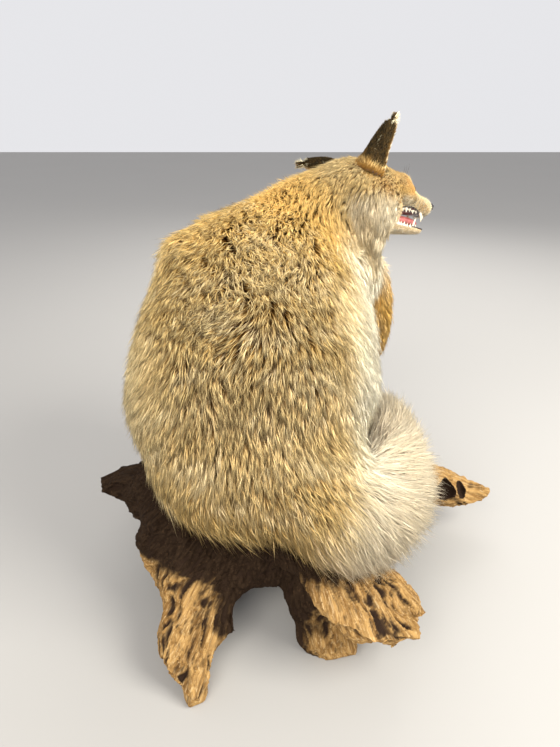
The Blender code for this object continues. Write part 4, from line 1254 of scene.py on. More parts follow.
class FOX_OT_skin(FoxOperator, bpy.types.Operator):
    """Builds the skin under the coat, with the face's folds, lids and open mouth"""
    bl_idname = "fox.skin"
    bl_label = "Skin"

    def execute(self, context):
        forms = [welded_node(node, 0.0006) for node in FLESH] + head_forms()
        mesh = remeshed(joined(forms), context.scene.fox_coat.skin_voxel, 3)
        surface = Surface(mesh)
        for _ in range(10):
            fill = surface.evened(surface.points, 3) - surface.points
            inward = (fill * surface.normals()).sum(1, keepdims=True)
            head = in_frame(surface.points, HEAD)
            surface.points += fill * (inward > 0) * (1 - 0.8 * smoothstep(head[:, 1], -0.01, 0.03))[:, None]
        surface.write_to(mesh)
        FOX["outside"] = tree_of(mesh)
        depth = surface.evened(coat_fields(surface, parts_at(surface))["depth"], 12)
        steps = 6
        for _ in range(steps):
            surface.points -= unit(surface.evened(surface.normals(), 3)) * (depth / steps)[:, None]
            surface.points += (surface.evened(surface.points, 1) - surface.points) * np.minimum(
                depth / 0.012, 1.0)[:, None] * 0.5
        surface.write_to(mesh)
        edited(mesh, self.finer_face)
        surface = Surface(mesh)
        surface.points += surface.normals() * sculpted_face(in_frame(surface.points, HEAD))[:, None]
        surface.write_to(mesh)
        self.remember(surface)
        self.finish_skin(mesh, surface)
        return {"FINISHED"}

    def finer_face(self, shape):
        """Cuts the faces on the front of the head in four."""
        centre, reach = HEAD @ Vector((0, 0.075, -0.012)), 0.062
        edges = [edge for edge in shape.edges
                 if all((vertex.co - centre).length < reach for vertex in edge.verts)]
        bmesh.ops.subdivide_edges(shape, edges=edges, cuts=1, use_grid_fill=True, smooth=0.6)

    def remember(self, surface):
        """Keeps the fields that the coat and the skin's colours are read from."""
        weights = parts_at(surface)
        fields = coat_fields(surface, weights)
        normals = unit(surface.evened(surface.normals(), 4))
        colour, banding = coat_colours(surface.points, weights)
        fields.update({"normal": normals, "lie": lie_of_coat(surface.points, normals),
                       "coat_colour": colour, "banding": banding})
        fields.update({f"part_{part}": weight for part, weight in weights.items()})
        fields["density"] = fields["density"] * ~self.bare(surface.points)
        surface.fields = fields
        FOX["skin"] = surface

    def bare(self, points):
        """Where no hair grows: in the mouth, on the lids and under the nose."""
        head = in_frame(points, HEAD)
        lips = np.array(MOUTH)
        upper, lower = lips[:UPPER_LIP_POINTS], lips[:UPPER_LIP_POINTS - 1:-1]
        inside = (head[:, 1] > np.where(head[:, 0] < 0, LEFT_CORNER, lips[0, 0]) - 0.002) & (
            np.abs(head[:, 0]) < MOUTH_HALF_WIDTH)
        inside &= head[:, 2] < np.interp(head[:, 1], upper[:, 0], upper[:, 1]) + 0.0012
        inside &= head[:, 2] > np.interp(head[:, 1], lower[:, 0], lower[:, 1]) - 0.0012
        for side in BOTH:
            eye = in_frame(points, eye_frame(side))
            inside |= (eye[:, 1] > 0) & (np.hypot(eye[:, 0] / 0.0105, eye[:, 2] / 0.0078) < 1)
        return inside | (away(head, NOSE_PLACE + Vector((0, 0.002, 0))) < 0.0095)

    def finish_skin(self, mesh, surface):
        """Carves the mouth and the eyes' openings, and gives the skin its colours."""
        mesh = carved(mesh, [*((cutter, 1) for cutter in mouth_cutters()),
                             *((lid_cutter(side), 2) for side in BOTH)])
        FOX["mouth_rims"], FOX["lid_rims"] = rims(mesh, 1), rims(mesh, 2)
        number = nearest(surface.points, places_of(mesh))
        keep_values(mesh, "coat_colour", surface.fields["coat_colour"][number])
        walls = grained_material("mouth_lining", 0.42, (0.10, 0.018, 0.016), (0.028, 0.008, 0.008),
                                 500.0, 90.0, 0.4, 0.0006, Coat_Weight=0.4)
        numbers = [polygon.material_index for polygon in mesh.polygons]
        piece = add_piece("skin", mesh, skin_material(), walls, FOX["black_leather"], slot="body_coat")
        mesh.polygons.foreach_set("material_index", numbers)
        mesh.shade_smooth()
        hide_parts(*FLESH, "head", "lower_jaw")


class FOX_OT_body_coat(FoxOperator, bpy.types.Operator):
    """Covers the trunk and the neck with tufts"""
    bl_idname = "fox.body_coat"
    bl_label = "Body Coat"

    def execute(self, context):
        tufts = FOX["tufts"] = comb_body()
        x, y, z = tufts["root"].T
        trunk = tufts["part"] == "trunk"
        front, high, left = y > 0.10 + 0.3 * (z - 0.3), z > 0.385, x < spine_x(y)
        look = coat_material("body_hair", 0.62, 1.15)
        for name, chosen in {
            "coat_chest": trunk & front,
            "coat_withers": trunk & ~front & high,
            "coat_back_left": trunk & ~front & ~high & left,
            "coat_back_right": trunk & ~front & ~high & ~left,
            "coat_neck": tufts["part"] == "neck",
        }.items():
            coat_piece(name, chosen, look, "body_coat")
        return {"FINISHED"}


class FOX_OT_leg_coat(FoxOperator, bpy.types.Operator):
    """Covers the legs and paws with tufts, shorter towards the toes"""
    bl_idname = "fox.leg_coat"
    bl_label = "Leg Coat"

    def execute(self, context):
        tufts = FOX["tufts"]
        x, y = tufts["root"][:, 0], tufts["root"][:, 1]
        look = coat_material("leg_hair", 0.58, 0.90)
        for name, parts in {"shoulder": ["upper_arm"], "foreleg": ["forearm", "fore_paw"], "thigh": ["thigh"],
                            "hind_foot": ["shank", "hind_foot", "hind_paw"]}.items():
            for side, sign in SIDES:
                chosen = np.isin(tufts["part"], parts) & ((x - spine_x(y)) * sign > 0)
                coat_piece(f"coat_{name}_{side}", chosen, look, "leg_coat")
        return {"FINISHED"}


class FOX_OT_tail_coat(FoxOperator, bpy.types.Operator):
    """Covers the brush with long loose tufts"""
    bl_idname = "fox.tail_coat"
    bl_label = "Tail Coat"

    def execute(self, context):
        tufts = FOX["tufts"]
        x, y = tufts["root"][:, 0], tufts["root"][:, 1]
        tail, root = tufts["part"] == "tail", (x < 0.075) & (y < 0.0)
        look = coat_material("brush_hair", 0.60, 1.00)
        coat_piece("coat_tail_root", tail & root, look, "tail_coat")
        coat_piece("coat_tail_middle", tail & ~root & (y < -0.03), look, "tail_coat")
        coat_piece("coat_tail_end", tail & ~root & (y >= -0.03), look, "tail_coat")
        return {"FINISHED"}


class FOX_OT_head_coat(FoxOperator, bpy.types.Operator):
    """Covers the head with short tufts, and its ruff with longer ones"""
    bl_idname = "fox.head_coat"
    bl_label = "Head Coat"

    def execute(self, context):
        tufts = FOX["tufts"]
        head = in_frame(tufts["root"], HEAD)
        on_head, muzzle = np.isin(tufts["part"], ["head", "lower_jaw"]), head[:, 1] > 0.045
        look = coat_material("face_hair", 0.60, 0.70)
        coat_piece("coat_muzzle", on_head & muzzle, look, "body_coat")
        for side, sign in SIDES:
            coat_piece(f"coat_cheek_{side}", on_head & ~muzzle & (head[:, 0] * sign > 0), look, "body_coat")
        return {"FINISHED"}


# Where each ear stands in the head's frame, which way it points and which way it opens
EARS = {
    "right": ((0.029, -0.0245, 0.020), (0.32, 0.235, 0.92), (-0.30, 1.0, 0.0)),
    "left": ((-0.034, -0.004, 0.022), (-0.27, -0.95, 0.16), (-1.0, 0.2, -0.6)),
}
EAR_LENGTH, EAR_WIDTH, EAR_THICKNESS = 0.0745, 0.045, 0.0024
EAR_ROWS, EAR_COLUMNS = 34, 20


class FOX_OT_ears(FoxOperator, bpy.types.Operator):
    """Builds the cupped ears, velvety dark behind and pale haired inside"""
    bl_idname = "fox.ears"
    bl_label = "Ears"

    def execute(self, context):
        leather = grained_material("ear_skin", 0.8, (0.085, 0.045, 0.028), (0.035, 0.020, 0.013),
                                   700.0, 120.0, 0.5, 0.0006)
        look = coat_material("ear_hair", 0.80, 0.60, 0.03)
        for number, (side, seat) in enumerate(EARS.items()):
            piece = add_piece(f"ear_shell_{side}", self.shell(seat), leather, slot="ear")
            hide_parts("ear_" + side)
            self.hair(side, seat, look, np.random.default_rng(SEED + number))
        return {"FINISHED"}

    def axes(self, seat):
        up = Vector(seat[1]).normalized()
        front = (Vector(seat[2]) - up * Vector(seat[2]).dot(up)).normalized()
        return up, front, front.cross(up)

    def sheet_point(self, seat, t, s):
        """A place on the ear: t from base to tip, s from edge to edge."""
        up, front, across = self.axes(seat)
        knob = float(smoothstep(np.array(t), 0.80, 0.90))
        blade = EAR_WIDTH / 2 * (1 - 0.80 * min(max(t, 0.0), 1.0) ** 0.95)
        half = blade * (1 - knob) + (0.0046 - 0.0026 * t) * knob
        cup = 0.5 * half * (1 - s * s) + 0.004 * math.sin(math.pi * t) - 0.0035 * knob * (t - 0.8) / 0.2
        wave = 0.0010 * math.sin(9 * t + 4 * s)
        lean = 0.30 * EAR_WIDTH * t * (1 - t)
        place = Vector(seat[0]) + across * (half * s + lean) - front * (cup + wave) + up * (EAR_LENGTH * t)
        return HEAD @ place

    def shell(self, seat):
        def build(shape):
            grid = [[shape.verts.new(self.sheet_point(seat, i / EAR_ROWS, 2 * j / EAR_COLUMNS - 1))
                     for j in range(EAR_COLUMNS + 1)] for i in range(EAR_ROWS + 1)]
            for low, high in zip(grid, grid[1:]):
                for j in range(EAR_COLUMNS):
                    shape.faces.new((low[j], low[j + 1], high[j + 1], high[j]))

        shell = with_modifiers(mesh_of(build), ("SOLIDIFY", {"thickness": EAR_THICKNESS, "offset": 0.0}),
                               ("SMOOTH", {"factor": 0.5, "iterations": 2}))
        shell.shade_smooth()
        return shell

    def frame_at(self, seat, t, s):
        """A place on the ear, with the ways to its tip, to its edge and out of its back."""
        step = 0.004
        above = self.sheet_point(seat, min(t + step, 1.0), s) - self.sheet_point(seat, max(t - step, 0.0), s)
        beside = self.sheet_point(seat, t, s + step) - self.sheet_point(seat, t, s - step)
        back = beside.cross(above).normalized()
        if back.dot(HEAD.to_3x3() @ self.axes(seat)[1]) > 0:
            back = -back
        return self.sheet_point(seat, t, s), above.normalized(), beside.normalized(), back

    def hair(self, side, seat, look, source):
        """Velvet on the back, long pale hair from the edges over the hollow, and a wisp at the tip."""
        rust, cream, night = tone("rust"), tone("cream"), tone("dark") * 0.20
        amount = 1.0
        rows = []

        def add(root, way, lay, length, width, colour, banding, rise):
            tip = root + way * length + lay * rise
            rows.append((root - lay * 0.0004, root + (tip - root) * 0.5 + lay * rise * 0.35, tip, lay,
                         width * source.uniform(0.7, 1.3), np.clip(colour, 0.002, 1), banding))

        for _ in range(int(5200 * amount)):
            t, s = source.random() ** 1.15 * 0.99, source.uniform(-1, 1)
            spot, above, beside, back = self.frame_at(seat, t, s)
            way = (above + beside * source.normal() * 0.22 + beside * s * 0.25).normalized()
            patch = noise.noise(Vector((t * 5, s * 2.5, SEED + len(side)))) * 0.16 - 0.05 * s
            low = 1 - smoothstep(np.array(t + patch + 0.10 * s), 0.00, 0.24)
            edge = smoothstep(np.array(abs(s)), 0.80, 1.0)
            fleck = source.random() ** 6 * 0.35
            colour = night + (rust * 0.42 - night) * min(low + fleck, 1.0) + (rust * 0.6 - night) * 0.22 * edge
            add(spot + back * EAR_THICKNESS * 0.45, way, back, 0.0050 + 0.005 * low, 0.00085, colour, 0.05,
                0.0010 + 0.0012 * source.random())
        for _ in range(int(1500 * amount)):
            t, s = source.random() * 0.96, source.uniform(-0.95, 0.95)
            spot, above, beside, back = self.frame_at(seat, t, s)
            way = (above - beside * s * 0.8 + beside * source.normal() * 0.3).normalized()
            length = 0.010 + 0.012 * (1 - t) * (0.4 + 0.6 * abs(s))
            add(spot - back * EAR_THICKNESS * 0.45, way, -back, length, 0.0008,
                cream * (0.65 + 0.3 * source.random()), 0.05, 0.003)
        for _ in range(int(1100 * amount)):
            t, s = source.uniform(-0.14, 0.03) + 0.05 * source.random() ** 3, source.uniform(-1.0, 1.0)
            spot, above, beside, back = self.frame_at(seat, t, s)
            way = (above + back * source.uniform(0.15, 0.55)
                   + beside * (0.25 * source.normal() + 0.2 * s)).normalized()
            warm = np.clip(0.65 - 0.6 * s + 0.25 * source.normal(), 0, 1)
            add(spot - back * 0.002, way, back, source.uniform(0.007, 0.016), 0.0007,
                tone("straw") * (1 - warm) + rust * 0.62 * warm, 0.35, 0.002)
        for _ in range(int(800 * amount)):
            t, end = 0.04 + 0.94 * source.random(), source.choice([-1.0, 1.0])
            spot, above, beside, back = self.frame_at(seat, t, end * 0.98)
            way = (above * 0.9 + beside * end * 0.40 + back * source.normal() * 0.15).normalized()
            colour = cream * 0.8 if source.random() < 0.40 else rust * 0.5
            add(spot, way, back, 0.0060 * source.uniform(0.7, 1.2), 0.0008, colour, 0.05, 0.0006)
        for _ in range(int(90 * amount)):
            t, s = source.uniform(0.955, 0.99), source.uniform(-0.9, 0.9)
            spot, above, beside, back = self.frame_at(seat, t, s)
            way = (above + beside * source.normal() * 0.5 + back * source.uniform(-0.6, 0.8)).normalized()
            colour = tone("white") * 0.7 if source.random() < 0.4 else rust * 0.5
            add(spot, way, back, 0.0065, 0.0008, colour, 0.02, 0.0)
        names = ("root", "bend", "tip", "lay", "width", "coat_colour", "banding")
        tufts = {name: np.array(column) for name, column in zip(names, zip(*rows))}
        tufts["roll"] = source.normal(size=len(rows)) * 0.4
        tufts["shade"] = source.random(len(rows))
        tufts["bent"] = np.zeros(len(rows), bool)
        add_piece(f"coat_ear_{side}", tuft_mesh(f"coat_ear_{side}", tufts), look, slot="ear")


class FOX_OT_eyes(FoxOperator, bpy.types.Operator):
    """Sets the glass eyes between their dark rims"""
    bl_idname = "fox.eyes"
    bl_label = "Eyes"

    def execute(self, context):
        def build(shape):
            bmesh.ops.create_uvsphere(shape, u_segments=48, v_segments=32, radius=EYE_RADIUS)
            for vertex in shape.verts:
                front = max(vertex.co.y / EYE_RADIUS, 0.0)
                vertex.co.y += 0.0007 * front ** 6

        glass = glass_eye_material()
        for name, side in SIDES:
            eye = add_piece(f"glass_eye_{name}", mesh_of(build), glass, slot="glass_eye")
            eye.matrix_world = eye_frame(side)
            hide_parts("eye_" + name)
        loops = [even_loop(loop, 56, 6) for loop in FOX["lid_rims"] if len(loop) > 12]
        if len(loops) < 2:
            raise RuntimeError("the openings of the lids have no rims")
        tubes = [tube_along(loop, lambda t: 0.00065, around=8) for loop in loops]
        add_piece("eyelid_rims", joined(tubes), FOX["black_leather"])
        return {"FINISHED"}


class FOX_OT_nose(FoxOperator, bpy.types.Operator):
    """Builds the pebbled black nose with its nostrils and its groove"""
    bl_idname = "fox.nose"
    bl_label = "Nose"

    def execute(self, context):
        def build(shape):
            bmesh.ops.create_uvsphere(shape, u_segments=64, v_segments=44, radius=1.0)
            for vertex in shape.verts:
                vertex.co = self.leather_point(*vertex.co)
            bmesh.ops.transform(shape, matrix=HEAD @ Matrix.Translation(NOSE_PLACE), verts=shape.verts)
        nose = add_piece("nose_leather", mesh_of(build), FOX["nose_leather"], slot="leather_nose")
        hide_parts("nose")
        return {"FINISHED"}

    def leather_point(self, x, y, z):
        """Where a point of a ball of radius 1 goes on the nose."""
        width = 0.0100 * (1 - 0.20 * max(-z, 0.0) ** 1.5)
        spot = Vector((x * width, y * 0.0086, z * 0.0078))
        if z > 0:
            spot.z *= 1 - 0.16 * max(y, 0)
        if y > 0:
            for side in BOTH:
                across = x - side * 0.52
                reach = math.hypot(across / 0.30, (z + 0.02 + 0.35 * side * across) / 0.26)
                spot -= Vector((side * 0.10, 1.0, 0.0)) * 0.0042 * math.exp(-reach ** 2.6)
                spot += Vector((side * 0.5, 0.7, 0.3)) * 0.0007 * math.exp(-((reach - 1.5) / 0.45) ** 2)
            spot.y -= 0.0012 * math.exp(-(x / 0.10) ** 2) * smoothstep(np.array(-z), -0.5, 0.3)
        return spot


def tooth(base, tip, radius, flat, curve, place):
    """A slightly curved, round-tipped tooth."""
    start, end, lean = Vector(base), Vector(tip), Vector((0, curve, 0))
    stations = []
    for t in (k / 4 for k in range(5)):
        size = radius * (1 - t ** 1.5 * 0.86)
        stations.append((*(start.lerp(end, t) + lean * 4 * t * (1 - t)), size * flat, size))
    return limb(stations, place, up=Y_AXIS, around=10, steps=2, caps=(60, 30))


def dental_arc(count, first, last, width_back, width_front, z_back, z_front):
    """Places along one side of a dental arch, from the cheek teeth to the front."""
    for t in (k / (count - 1) for k in range(count)):
        yield (width_back + (width_front - width_back) * t ** 0.8, first + (last - first) * t,
               z_back + (z_front - z_back) * t)


class FOX_OT_mouth(FoxOperator, bpy.types.Operator):
    """Builds the lips, gums, teeth and tongue of the snarling mouth"""
    bl_idname = "fox.mouth"
    bl_label = "Mouth"

    def execute(self, context):
        self.lips()
        gum = grained_material("gums", 0.35, (0.10, 0.024, 0.022), (0.022, 0.009, 0.009),
                               600.0, 150.0, 0.3, 0.0005, Coat_Weight=0.5)
        palate = limb([(0, 0.040, -0.0190, 0.0130, 0.0100), (0, 0.054, -0.0175, 0.0130, 0.0100),
                       (0, 0.070, -0.0150, 0.0125, 0.0085), (0, 0.095, -0.0158, 0.0100, 0.0066),
                       (0, 0.106, -0.0172, 0.0070, 0.0045)], HEAD)
        arch = self.gums(HEAD, 0.0034, 0.044, 0.107, 0.0165, 0.0090, -0.0110, -0.0160)
        add_piece("gums_upper", joined([arch, palate]), gum)
        add_piece("gums_lower", self.gums(JAW, 0.0028, 0.040, 0.098, 0.0142, 0.0062, -0.0355, -0.0335), gum)
        ivory = tooth_material()
        add_piece("teeth_upper", joined(self.upper_teeth()), ivory)
        add_piece("teeth_lower", joined(self.lower_teeth()), ivory)
        self.tongue()
        return {"FINISHED"}

    def lips(self):
        def thickness(t):
            return 0.00115 + 0.00020 * math.sin(t * 2 * math.pi * 11) * math.sin(t * 2 * math.pi * 3)

        tubes = [tube_along(even_loop(loop, 150, 8), thickness, around=12)
                 for loop in FOX["mouth_rims"] if len(loop) > 30]
        if not tubes:
            raise RuntimeError("the mouth's opening has no rims")
        add_piece("lips", joined(tubes), FOX["black_leather"])

    def gums(self, place, radius, *arc):
        """A horseshoe of gum that the teeth stand in."""
        side = list(dental_arc(9, *arc))
        half, front, height = arc[3], arc[1] + 0.004, arc[5]
        across = [(half * 0.55, front, height), (-half * 0.55, front, height)]
        arch = [*side, *across, *[(-x, y, z) for x, y, z in reversed(side)]]

        def bulge(t, turn):
            return 1 + 0.10 * math.sin(t * 2 * math.pi * 13)
        return limb([(*spot, radius, radius * 0.9) for spot in arch], place, around=14, steps=5, shape_at=bulge)

    def cheek_tooth(self, x, y, z, down, size, place):
        """Three cusps in a row, the middle one the tallest."""
        return [
            tooth((x, y, z), (x * 1.01, y, z + down * 0.0098 * size), 0.0031 * size, 0.62, 0.0, place),
            tooth((x, y - 0.0034 * size, z), (x, y - 0.0042 * size, z + down * 0.0058 * size),
                  0.0022 * size, 0.7, 0.0, place),
            tooth((x, y + 0.0034 * size, z), (x, y + 0.0040 * size, z + down * 0.0052 * size),
                  0.0021 * size, 0.7, 0.0, place),
        ]

    def cheek_teeth(self, side, down, place, sizes, *arc):
        """One side's row of cheek teeth; on the left the ruff covers the hindmost."""
        row = []
        for (x, y, z), size in zip(dental_arc(len(sizes), *arc), sizes):
            if side > 0 or y >= LEFT_CORNER:
                row += self.cheek_tooth(side * x, y, z, down, size, place)
        return row

    def upper_teeth(self):
        teeth = []
        for side in BOTH:
            teeth += self.cheek_teeth(side, -1, HEAD, (0.74, 0.66, 0.72, 0.52, 0.60, 0.44),
                                      0.052, 0.090, 0.0176, 0.0125, -0.0125, -0.0160)
            teeth.append(tooth((side * 0.0118, 0.0985, -0.0160), (side * 0.0134, 0.1005, -0.0305),
                               0.0028, 0.8, 0.0012, HEAD))
            for k in range(3):
                x = 0.0016 + 0.0032 * k
                teeth.append(tooth((side * x, 0.1115 - k * 0.0018, -0.0175),
                                   (side * x * 1.05, 0.1125 - k * 0.0018, -0.0250 - k * 0.0006),
                                   0.0016, 1.0, 0.0004, HEAD))
        return teeth

    def lower_teeth(self):
        teeth = []
        for side in BOTH:
            teeth += self.cheek_teeth(side, 1, JAW, (0.62, 0.68, 0.54, 0.58, 0.46, 0.50),
                                      0.048, 0.083, 0.0156, 0.0112, -0.0345, -0.0335)
            teeth.append(tooth((side * 0.0082, 0.0915, -0.0330), (side * 0.0098, 0.0940, -0.0190),
                               0.0024, 0.8, -0.0010, JAW))
            for k in range(3):
                x = 0.0012 + 0.0023 * k
                teeth.append(tooth((side * x, 0.1015 - k * 0.0014, -0.0325),
                                   (side * x * 1.05, 0.1023 - k * 0.0014, -0.0262), 0.0012, 1.0, -0.0003, JAW))
        return teeth

    def tongue(self):
        """A broad wet tongue with a groove along its middle and a raised tip."""
        def groove(t, turn):
            return 1 - 0.22 * math.exp(-((turn - math.pi / 2) / 0.34) ** 2) * (1 - t * 0.5)
        mesh = limb([
            (0, 0.040, -0.0325, 0.0128, 0.0070), (0, 0.054, -0.0288, 0.0134, 0.0082),
            (0, 0.068, -0.0268, 0.0128, 0.0078), (0, 0.082, -0.0256, 0.0112, 0.0066),
            (0, 0.093, -0.0252, 0.0092, 0.0052), (0, 0.099, -0.0258, 0.0070, 0.0040),
        ], JAW, around=36, steps=8, shape_at=groove)
        flesh = grained_material("tongue_flesh", 0.34, (0.44, 0.115, 0.10), (0.30, 0.065, 0.06), 900.0, 180.0,
                                 0.7, 0.0005, Coat_Weight=0.55)
        piece = add_piece("tongue_flesh", mesh, flesh, slot="tongue")
        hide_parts("tongue")


class FOX_OT_whiskers(FoxOperator, bpy.types.Operator):
    """Sets the whiskers in rows on the muzzle and over the eyes"""
    bl_idname = "fox.whiskers"
    bl_label = "Whiskers"

    def execute(self, context):
        source = np.random.default_rng(SEED + 5)
        hairs = []
        for side in BOTH:
            for row in range(3):
                for k in range(4):
                    root = Vector((side * (0.0135 + 0.0014 * k), 0.113 - 0.0048 * k, -0.0075 - 0.0030 * row))
                    way = Vector((side * (0.75 + 0.05 * k), -0.42 - 0.10 * k, 0.12 - 0.12 * row))
                    hairs.append(self.whisker(root, way, 0.030 + 0.0055 * k, source))
            for k in range(3):
                root = Vector((side * (0.021 + 0.003 * k), 0.049, 0.027))
                hairs.append(self.whisker(root, Vector((side * 0.5, -0.2, 0.8 - 0.2 * k)), 0.022, source))
        horn = grained_material("whisker_horn", 0.35, (0.020, 0.014, 0.010), (0.05, 0.035, 0.025),
                                900.0, 200.0, 0.2, 0.0002)
        add_piece("whiskers", joined(hairs), horn)
        return {"FINISHED"}

    def whisker(self, root, way, length, source):
        way = way.normalized()
        droop = Vector((0, -0.25, -0.20 + 0.15 * source.normal())) * length
        stations = []
        for t in (k / 4 for k in range(5)):
            size = 0.00020 * (1 - 0.8 * t)
            stations.append((*(root + way * length * t + droop * t * t), size, size))
        return limb(stations, HEAD, around=6, steps=2, caps=(45,))


# How far each paw turns outward, in degrees, the height of its sole, and its toes' places
PAWS = {"fore_paw": (4, 0.165), "hind_paw": (6, 0.165)}
TOES = ((-0.0125, 0.010), (-0.0045, 0.017), (0.0045, 0.017), (0.0125, 0.010))
PAW_HEIGHT, CLAW_REACH = 0.026, 0.0365


class FOX_OT_claws(FoxOperator, bpy.types.Operator):
    """Sets a curved horn claw on each toe"""
    bl_idname = "fox.claws"
    bl_label = "Claws"

    def execute(self, context):
        claws = []
        for paw, (toe_in, seat) in PAWS.items():
            for name, side in SIDES:
                low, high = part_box(f"{paw}_{name}")
                centre = Vector(((low.x + high.x) / 2, high.y - CLAW_REACH, seat + PAW_HEIGHT / 2))
                place = Matrix.Translation(centre) @ Matrix.Rotation(math.radians(-side * toe_in), 4, "Z")
                for x, y in TOES:
                    claws.append(limb([
                        (x, y + 0.006, 0.000, 0.0020, 0.0026), (x, y + 0.011, -0.0005, 0.0018, 0.0024),
                        (x, y + 0.0155, -0.0035, 0.0012, 0.0017), (x, y + 0.0180, -0.0085, 0.0004, 0.0006),
                    ], place, around=10, steps=3, caps=(50,)))
        horn = grained_material("claw_horn", 0.32, (0.060, 0.040, 0.028), (0.20, 0.15, 0.10), 500.0, 110.0,
                                0.4, 0.0005, Coat_Weight=0.3)
        add_piece("claws", joined(claws), horn)
        return {"FINISHED"}


# The rotted holes of the right branch: their places and radii
HOLLOWS = (((0.212, 0.018, 0.090), (0.0165, 0.026, 0.0185)), ((0.239, 0.030, 0.087), (0.0075, 0.020, 0.0135)))
GRAIN_CENTRE = (-0.05, 0.03, 0.19)
FIBRES = 46.0  # fibres round the stump, per radian
FIBRE_DRIFT = (9.0, -7.0, 8.0)  # how fast the fibres wander with distance from its heart


class FOX_OT_driftwood(FoxOperator, bpy.types.Operator):
    """Builds the weathered driftwood, its fibres running out along each root"""
    bl_idname = "fox.driftwood"
    bl_label = "Driftwood"

    def execute(self, context):
        settings = context.scene.fox_wood
        solid = remeshed(welded_node("driftwood"), settings.voxel, 4)
        surface = Surface(solid)
        normals = unit(surface.evened(surface.normals(), 3))
        low = 1 - smoothstep(surface.points[:, 2], 0.08, 0.12)
        surface.points[:, 1] -= 0.012 * smoothstep(-surface.points[:, 1], 0.13, 0.24) * low
        relief, height = self.relief(surface.points, settings.groove_depth)
        foot = smoothstep(surface.points[:, 2], 0.002, 0.012)
        surface.points += normals * (relief * foot)[:, None]
        surface.points[:, 2] = np.maximum(surface.points[:, 2], 0.0)
        surface.write_to(solid)
        mesh = largest_island(carved(solid, [(ball(place, radii), 0) for place, radii in HOLLOWS]))
        self.keep_fields(mesh, surface, height)
        piece = add_piece("driftwood_grain", mesh, wood_material(), slot="wood")
        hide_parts("driftwood")
        return {"FINISHED"}

    def relief(self, points, depth):
        """How far each point moves outward, and the same as a value from 0, a groove, to 1, a ridge."""
        noise.seed_set(SEED)
        outward = points - np.array(GRAIN_CENTRE)
        reach = np.linalg.norm(outward, axis=1, keepdims=True)
        place = outward / reach * FIBRES * 0.55 + reach * np.array(FIBRE_DRIFT)
        move, height = np.empty(len(points)), np.empty(len(points))
        for index in range(len(points)):
            spot, body = Vector(place[index]), Vector(points[index])
            warp = noise.noise_vector(body * 22) * 1.6
            coarse = noise.noise(spot * 0.42 + warp * 0.4)
            ridge = 1 - abs(noise.noise(spot + warp)) * 2.4
            fine = 1 - abs(noise.noise(spot * 2.6 + warp)) * 2.2
            lump = noise.fractal(body * 30, 0.9, 2.0, 4)
            layer = (noise.noise(body * 17 + Vector((5, 2, 9))) + 0.35 * coarse) * 4.5
            step = math.floor(layer)
            edge = min(max((layer - step - 0.72) / 0.28, 0.0), 1.0)
            value = 0.50 * ridge + 0.30 * fine + 0.35 * coarse
            move[index] = depth * (value - 0.55) + 0.0026 * lump + 0.0017 * (step + edge)
            height[index] = 0.36 + 0.44 * value + 0.12 * lump + 0.14 * (edge - 0.35)
        return move, np.clip(height, 0, 1)

    def keep_fields(self, mesh, surface, height):
        """The relief, and a value of wear and painted shade: the wood is rubbed most towards the ends of the
        roots, and painted shade darkens the upper left lump and the central wall of the stump.
        """
        spots = places_of(mesh)
        relief = height[nearest(surface.points, spots)]
        # Inside the hollows the relief falls to that of a groove, so their walls take the groove's painted
        # shade.
        for place, radii in HOLLOWS:
            inside = np.linalg.norm((spots - np.array(place)) / np.array(radii), axis=1)
            relief = relief * smoothstep(inside, 0.95, 1.12)
        x, y, z = spots.T
        reach = np.linalg.norm((spots - np.array(GRAIN_CENTRE)) * (1, 1, 0.6), axis=1)
        # The upper left lump is painted darker, as shade.
        lump = smoothstep(z, 0.092, 0.125) * smoothstep(-x, 0.06, 0.13)
        wear_and_shade = smoothstep(reach, 0.15, 0.25) * (1 - 0.9 * lump)
        # The central wall of the stump, below the seat, is painted dark, as shade.
        shaded_heart = np.hypot((x + 0.045) * 1.3, (y + 0.02) * 0.9) + 0.02 * ripple(spots, 0.03, 21)
        shaded_heart = (1 - smoothstep(shaded_heart, 0.09, 0.21)) * (1 - smoothstep(z, 0.11, 0.14))
        wear_and_shade = wear_and_shade - 0.9 * shaded_heart - 0.5 * lump + 0.25 * smoothstep(x, 0.16, 0.22)
        keep_values(mesh, "relief", relief)
        keep_values(mesh, "wear_and_shade", wear_and_shade)


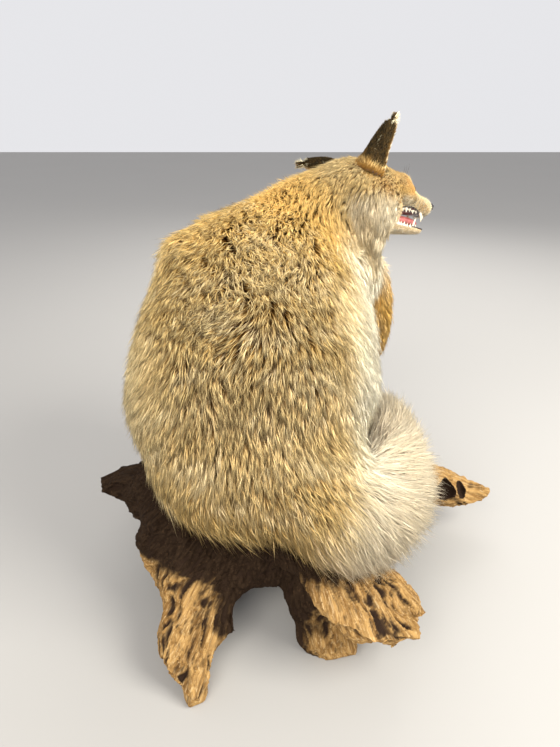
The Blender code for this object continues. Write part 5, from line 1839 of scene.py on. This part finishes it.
class FOX_OT_stage(FoxOperator, bpy.types.Operator):
    """Sets the pale floor, the soft lights and the camera"""
    bl_idname = "fox.stage"
    bl_label = "Stage"

    def execute(self, context):
        settings = context.scene.fox_stage

        def build(shape):
            bmesh.ops.create_grid(shape, x_segments=1, y_segments=1, size=6.0)
        floor = bpy.data.objects.new("floor", mesh_of(build))
        made, tree, shader = new_material("pale_floor", 0.8)
        pale = tuple(settings.floor_colour)
        cloud = mix(tree, noise_at(tree, 1.5, 2.0), pale, tuple(value * 0.96 for value in pale))
        plug(tree, cloud, shader["Base Color"])
        floor.data.materials.append(made)
        context.scene.collection.objects.link(floor)

        self.light("key_light", (1.4, -0.7, 1.45), 1.1, 66.0, (1.0, 0.97, 0.90))
        self.light("fill_light", (-0.8, -1.7, 1.5), 1.5, 50.0, (1.0, 0.96, 0.89))
        self.light("far_light", (0.4, 1.6, 1.4), 1.4, 22.0, (1.0, 0.98, 0.95))
        context.scene.view_settings.view_transform = "Standard"
        world = bpy.data.worlds.new("studio")
        world.use_nodes = True
        sky = world.node_tree.nodes["Background"].inputs
        sky["Color"].default_value, sky["Strength"].default_value = (0.97, 0.97, 1.0, 1.0), 0.82
        context.scene.world = world

        lens = bpy.data.cameras.new("camera")
        lens.lens, lens.sensor_width = settings.lens, 36.0
        camera = bpy.data.objects.new("camera", lens)
        camera.location = settings.camera_place
        camera.rotation_euler = (settings.camera_tilt, 0, 0)
        context.scene.collection.objects.link(camera)
        context.scene.camera = camera
        return {"FINISHED"}

    def light(self, name, place, size, power, colour):
        data = bpy.data.lights.new(name, "AREA")
        data.size, data.energy, data.color = size, power, colour
        made = bpy.data.objects.new(name, data)
        made.location = place
        aim = Vector((0, 0, 0.25)) - Vector(place)
        made.rotation_mode = "QUATERNION"
        made.rotation_quaternion = aim.to_track_quat("-Z", "Y")
        bpy.context.scene.collection.objects.link(made)


OPERATORS = (
    FOX_OT_stage, FOX_OT_skin, FOX_OT_body_coat, FOX_OT_leg_coat, FOX_OT_tail_coat, FOX_OT_head_coat,
    FOX_OT_ears, FOX_OT_eyes, FOX_OT_nose, FOX_OT_mouth, FOX_OT_whiskers, FOX_OT_claws, FOX_OT_driftwood,
)
SETTINGS = {"fox_coat": FoxCoatSettings, "fox_wood": FoxWoodSettings, "fox_stage": FoxStageSettings}


class FOX_PT_panel(bpy.types.Panel):
    """Lists the fox's pieces and their settings"""
    bl_label = "Mounted Fox"
    bl_idname = "FOX_PT_panel"
    bl_space_type = "VIEW_3D"
    bl_region_type = "UI"
    bl_category = "Mounted Fox"

    def draw(self, context):
        for operator in OPERATORS:
            self.layout.operator(operator.bl_idname)
        for name, group in SETTINGS.items():
            box = self.layout.box()
            for label in group.__annotations__:
                box.prop(getattr(context.scene, name), label)


def register():
    for group in (*SETTINGS.values(), *OPERATORS, FOX_PT_panel):
        bpy.utils.register_class(group)
    for name, group in SETTINGS.items():
        setattr(bpy.types.Scene, name, bpy.props.PointerProperty(type=group))


def unregister():
    for name in SETTINGS:
        delattr(bpy.types.Scene, name)
    for group in reversed((*SETTINGS.values(), *OPERATORS, FOX_PT_panel)):
        bpy.utils.unregister_class(group)


def shared_looks():
    """The node groups and the materials that more than one piece uses."""
    FOX["hair_bands"] = hair_bands_group()
    FOX["fine_grain"] = fine_grain_group()
    FOX["black_leather"] = grained_material("black_lips", 0.36, (0.012, 0.009, 0.009), (0.030, 0.018, 0.016),
                                            700.0, 150.0, 0.5, 0.0004, Coat_Weight=0.3)
    FOX["nose_leather"] = grained_material("pebbled_nose", 0.34, (0.010, 0.008, 0.009), (0.026, 0.018, 0.018),
                                           1500.0, 200.0, 0.9, 0.0008, Coat_Weight=0.35)


def main():
    register()
    shared_looks()
    for operator in OPERATORS:
        group, name = operator.bl_idname.split(".")
        getattr(getattr(bpy.ops, group), name)()


if __name__ == "__main__":
    main()
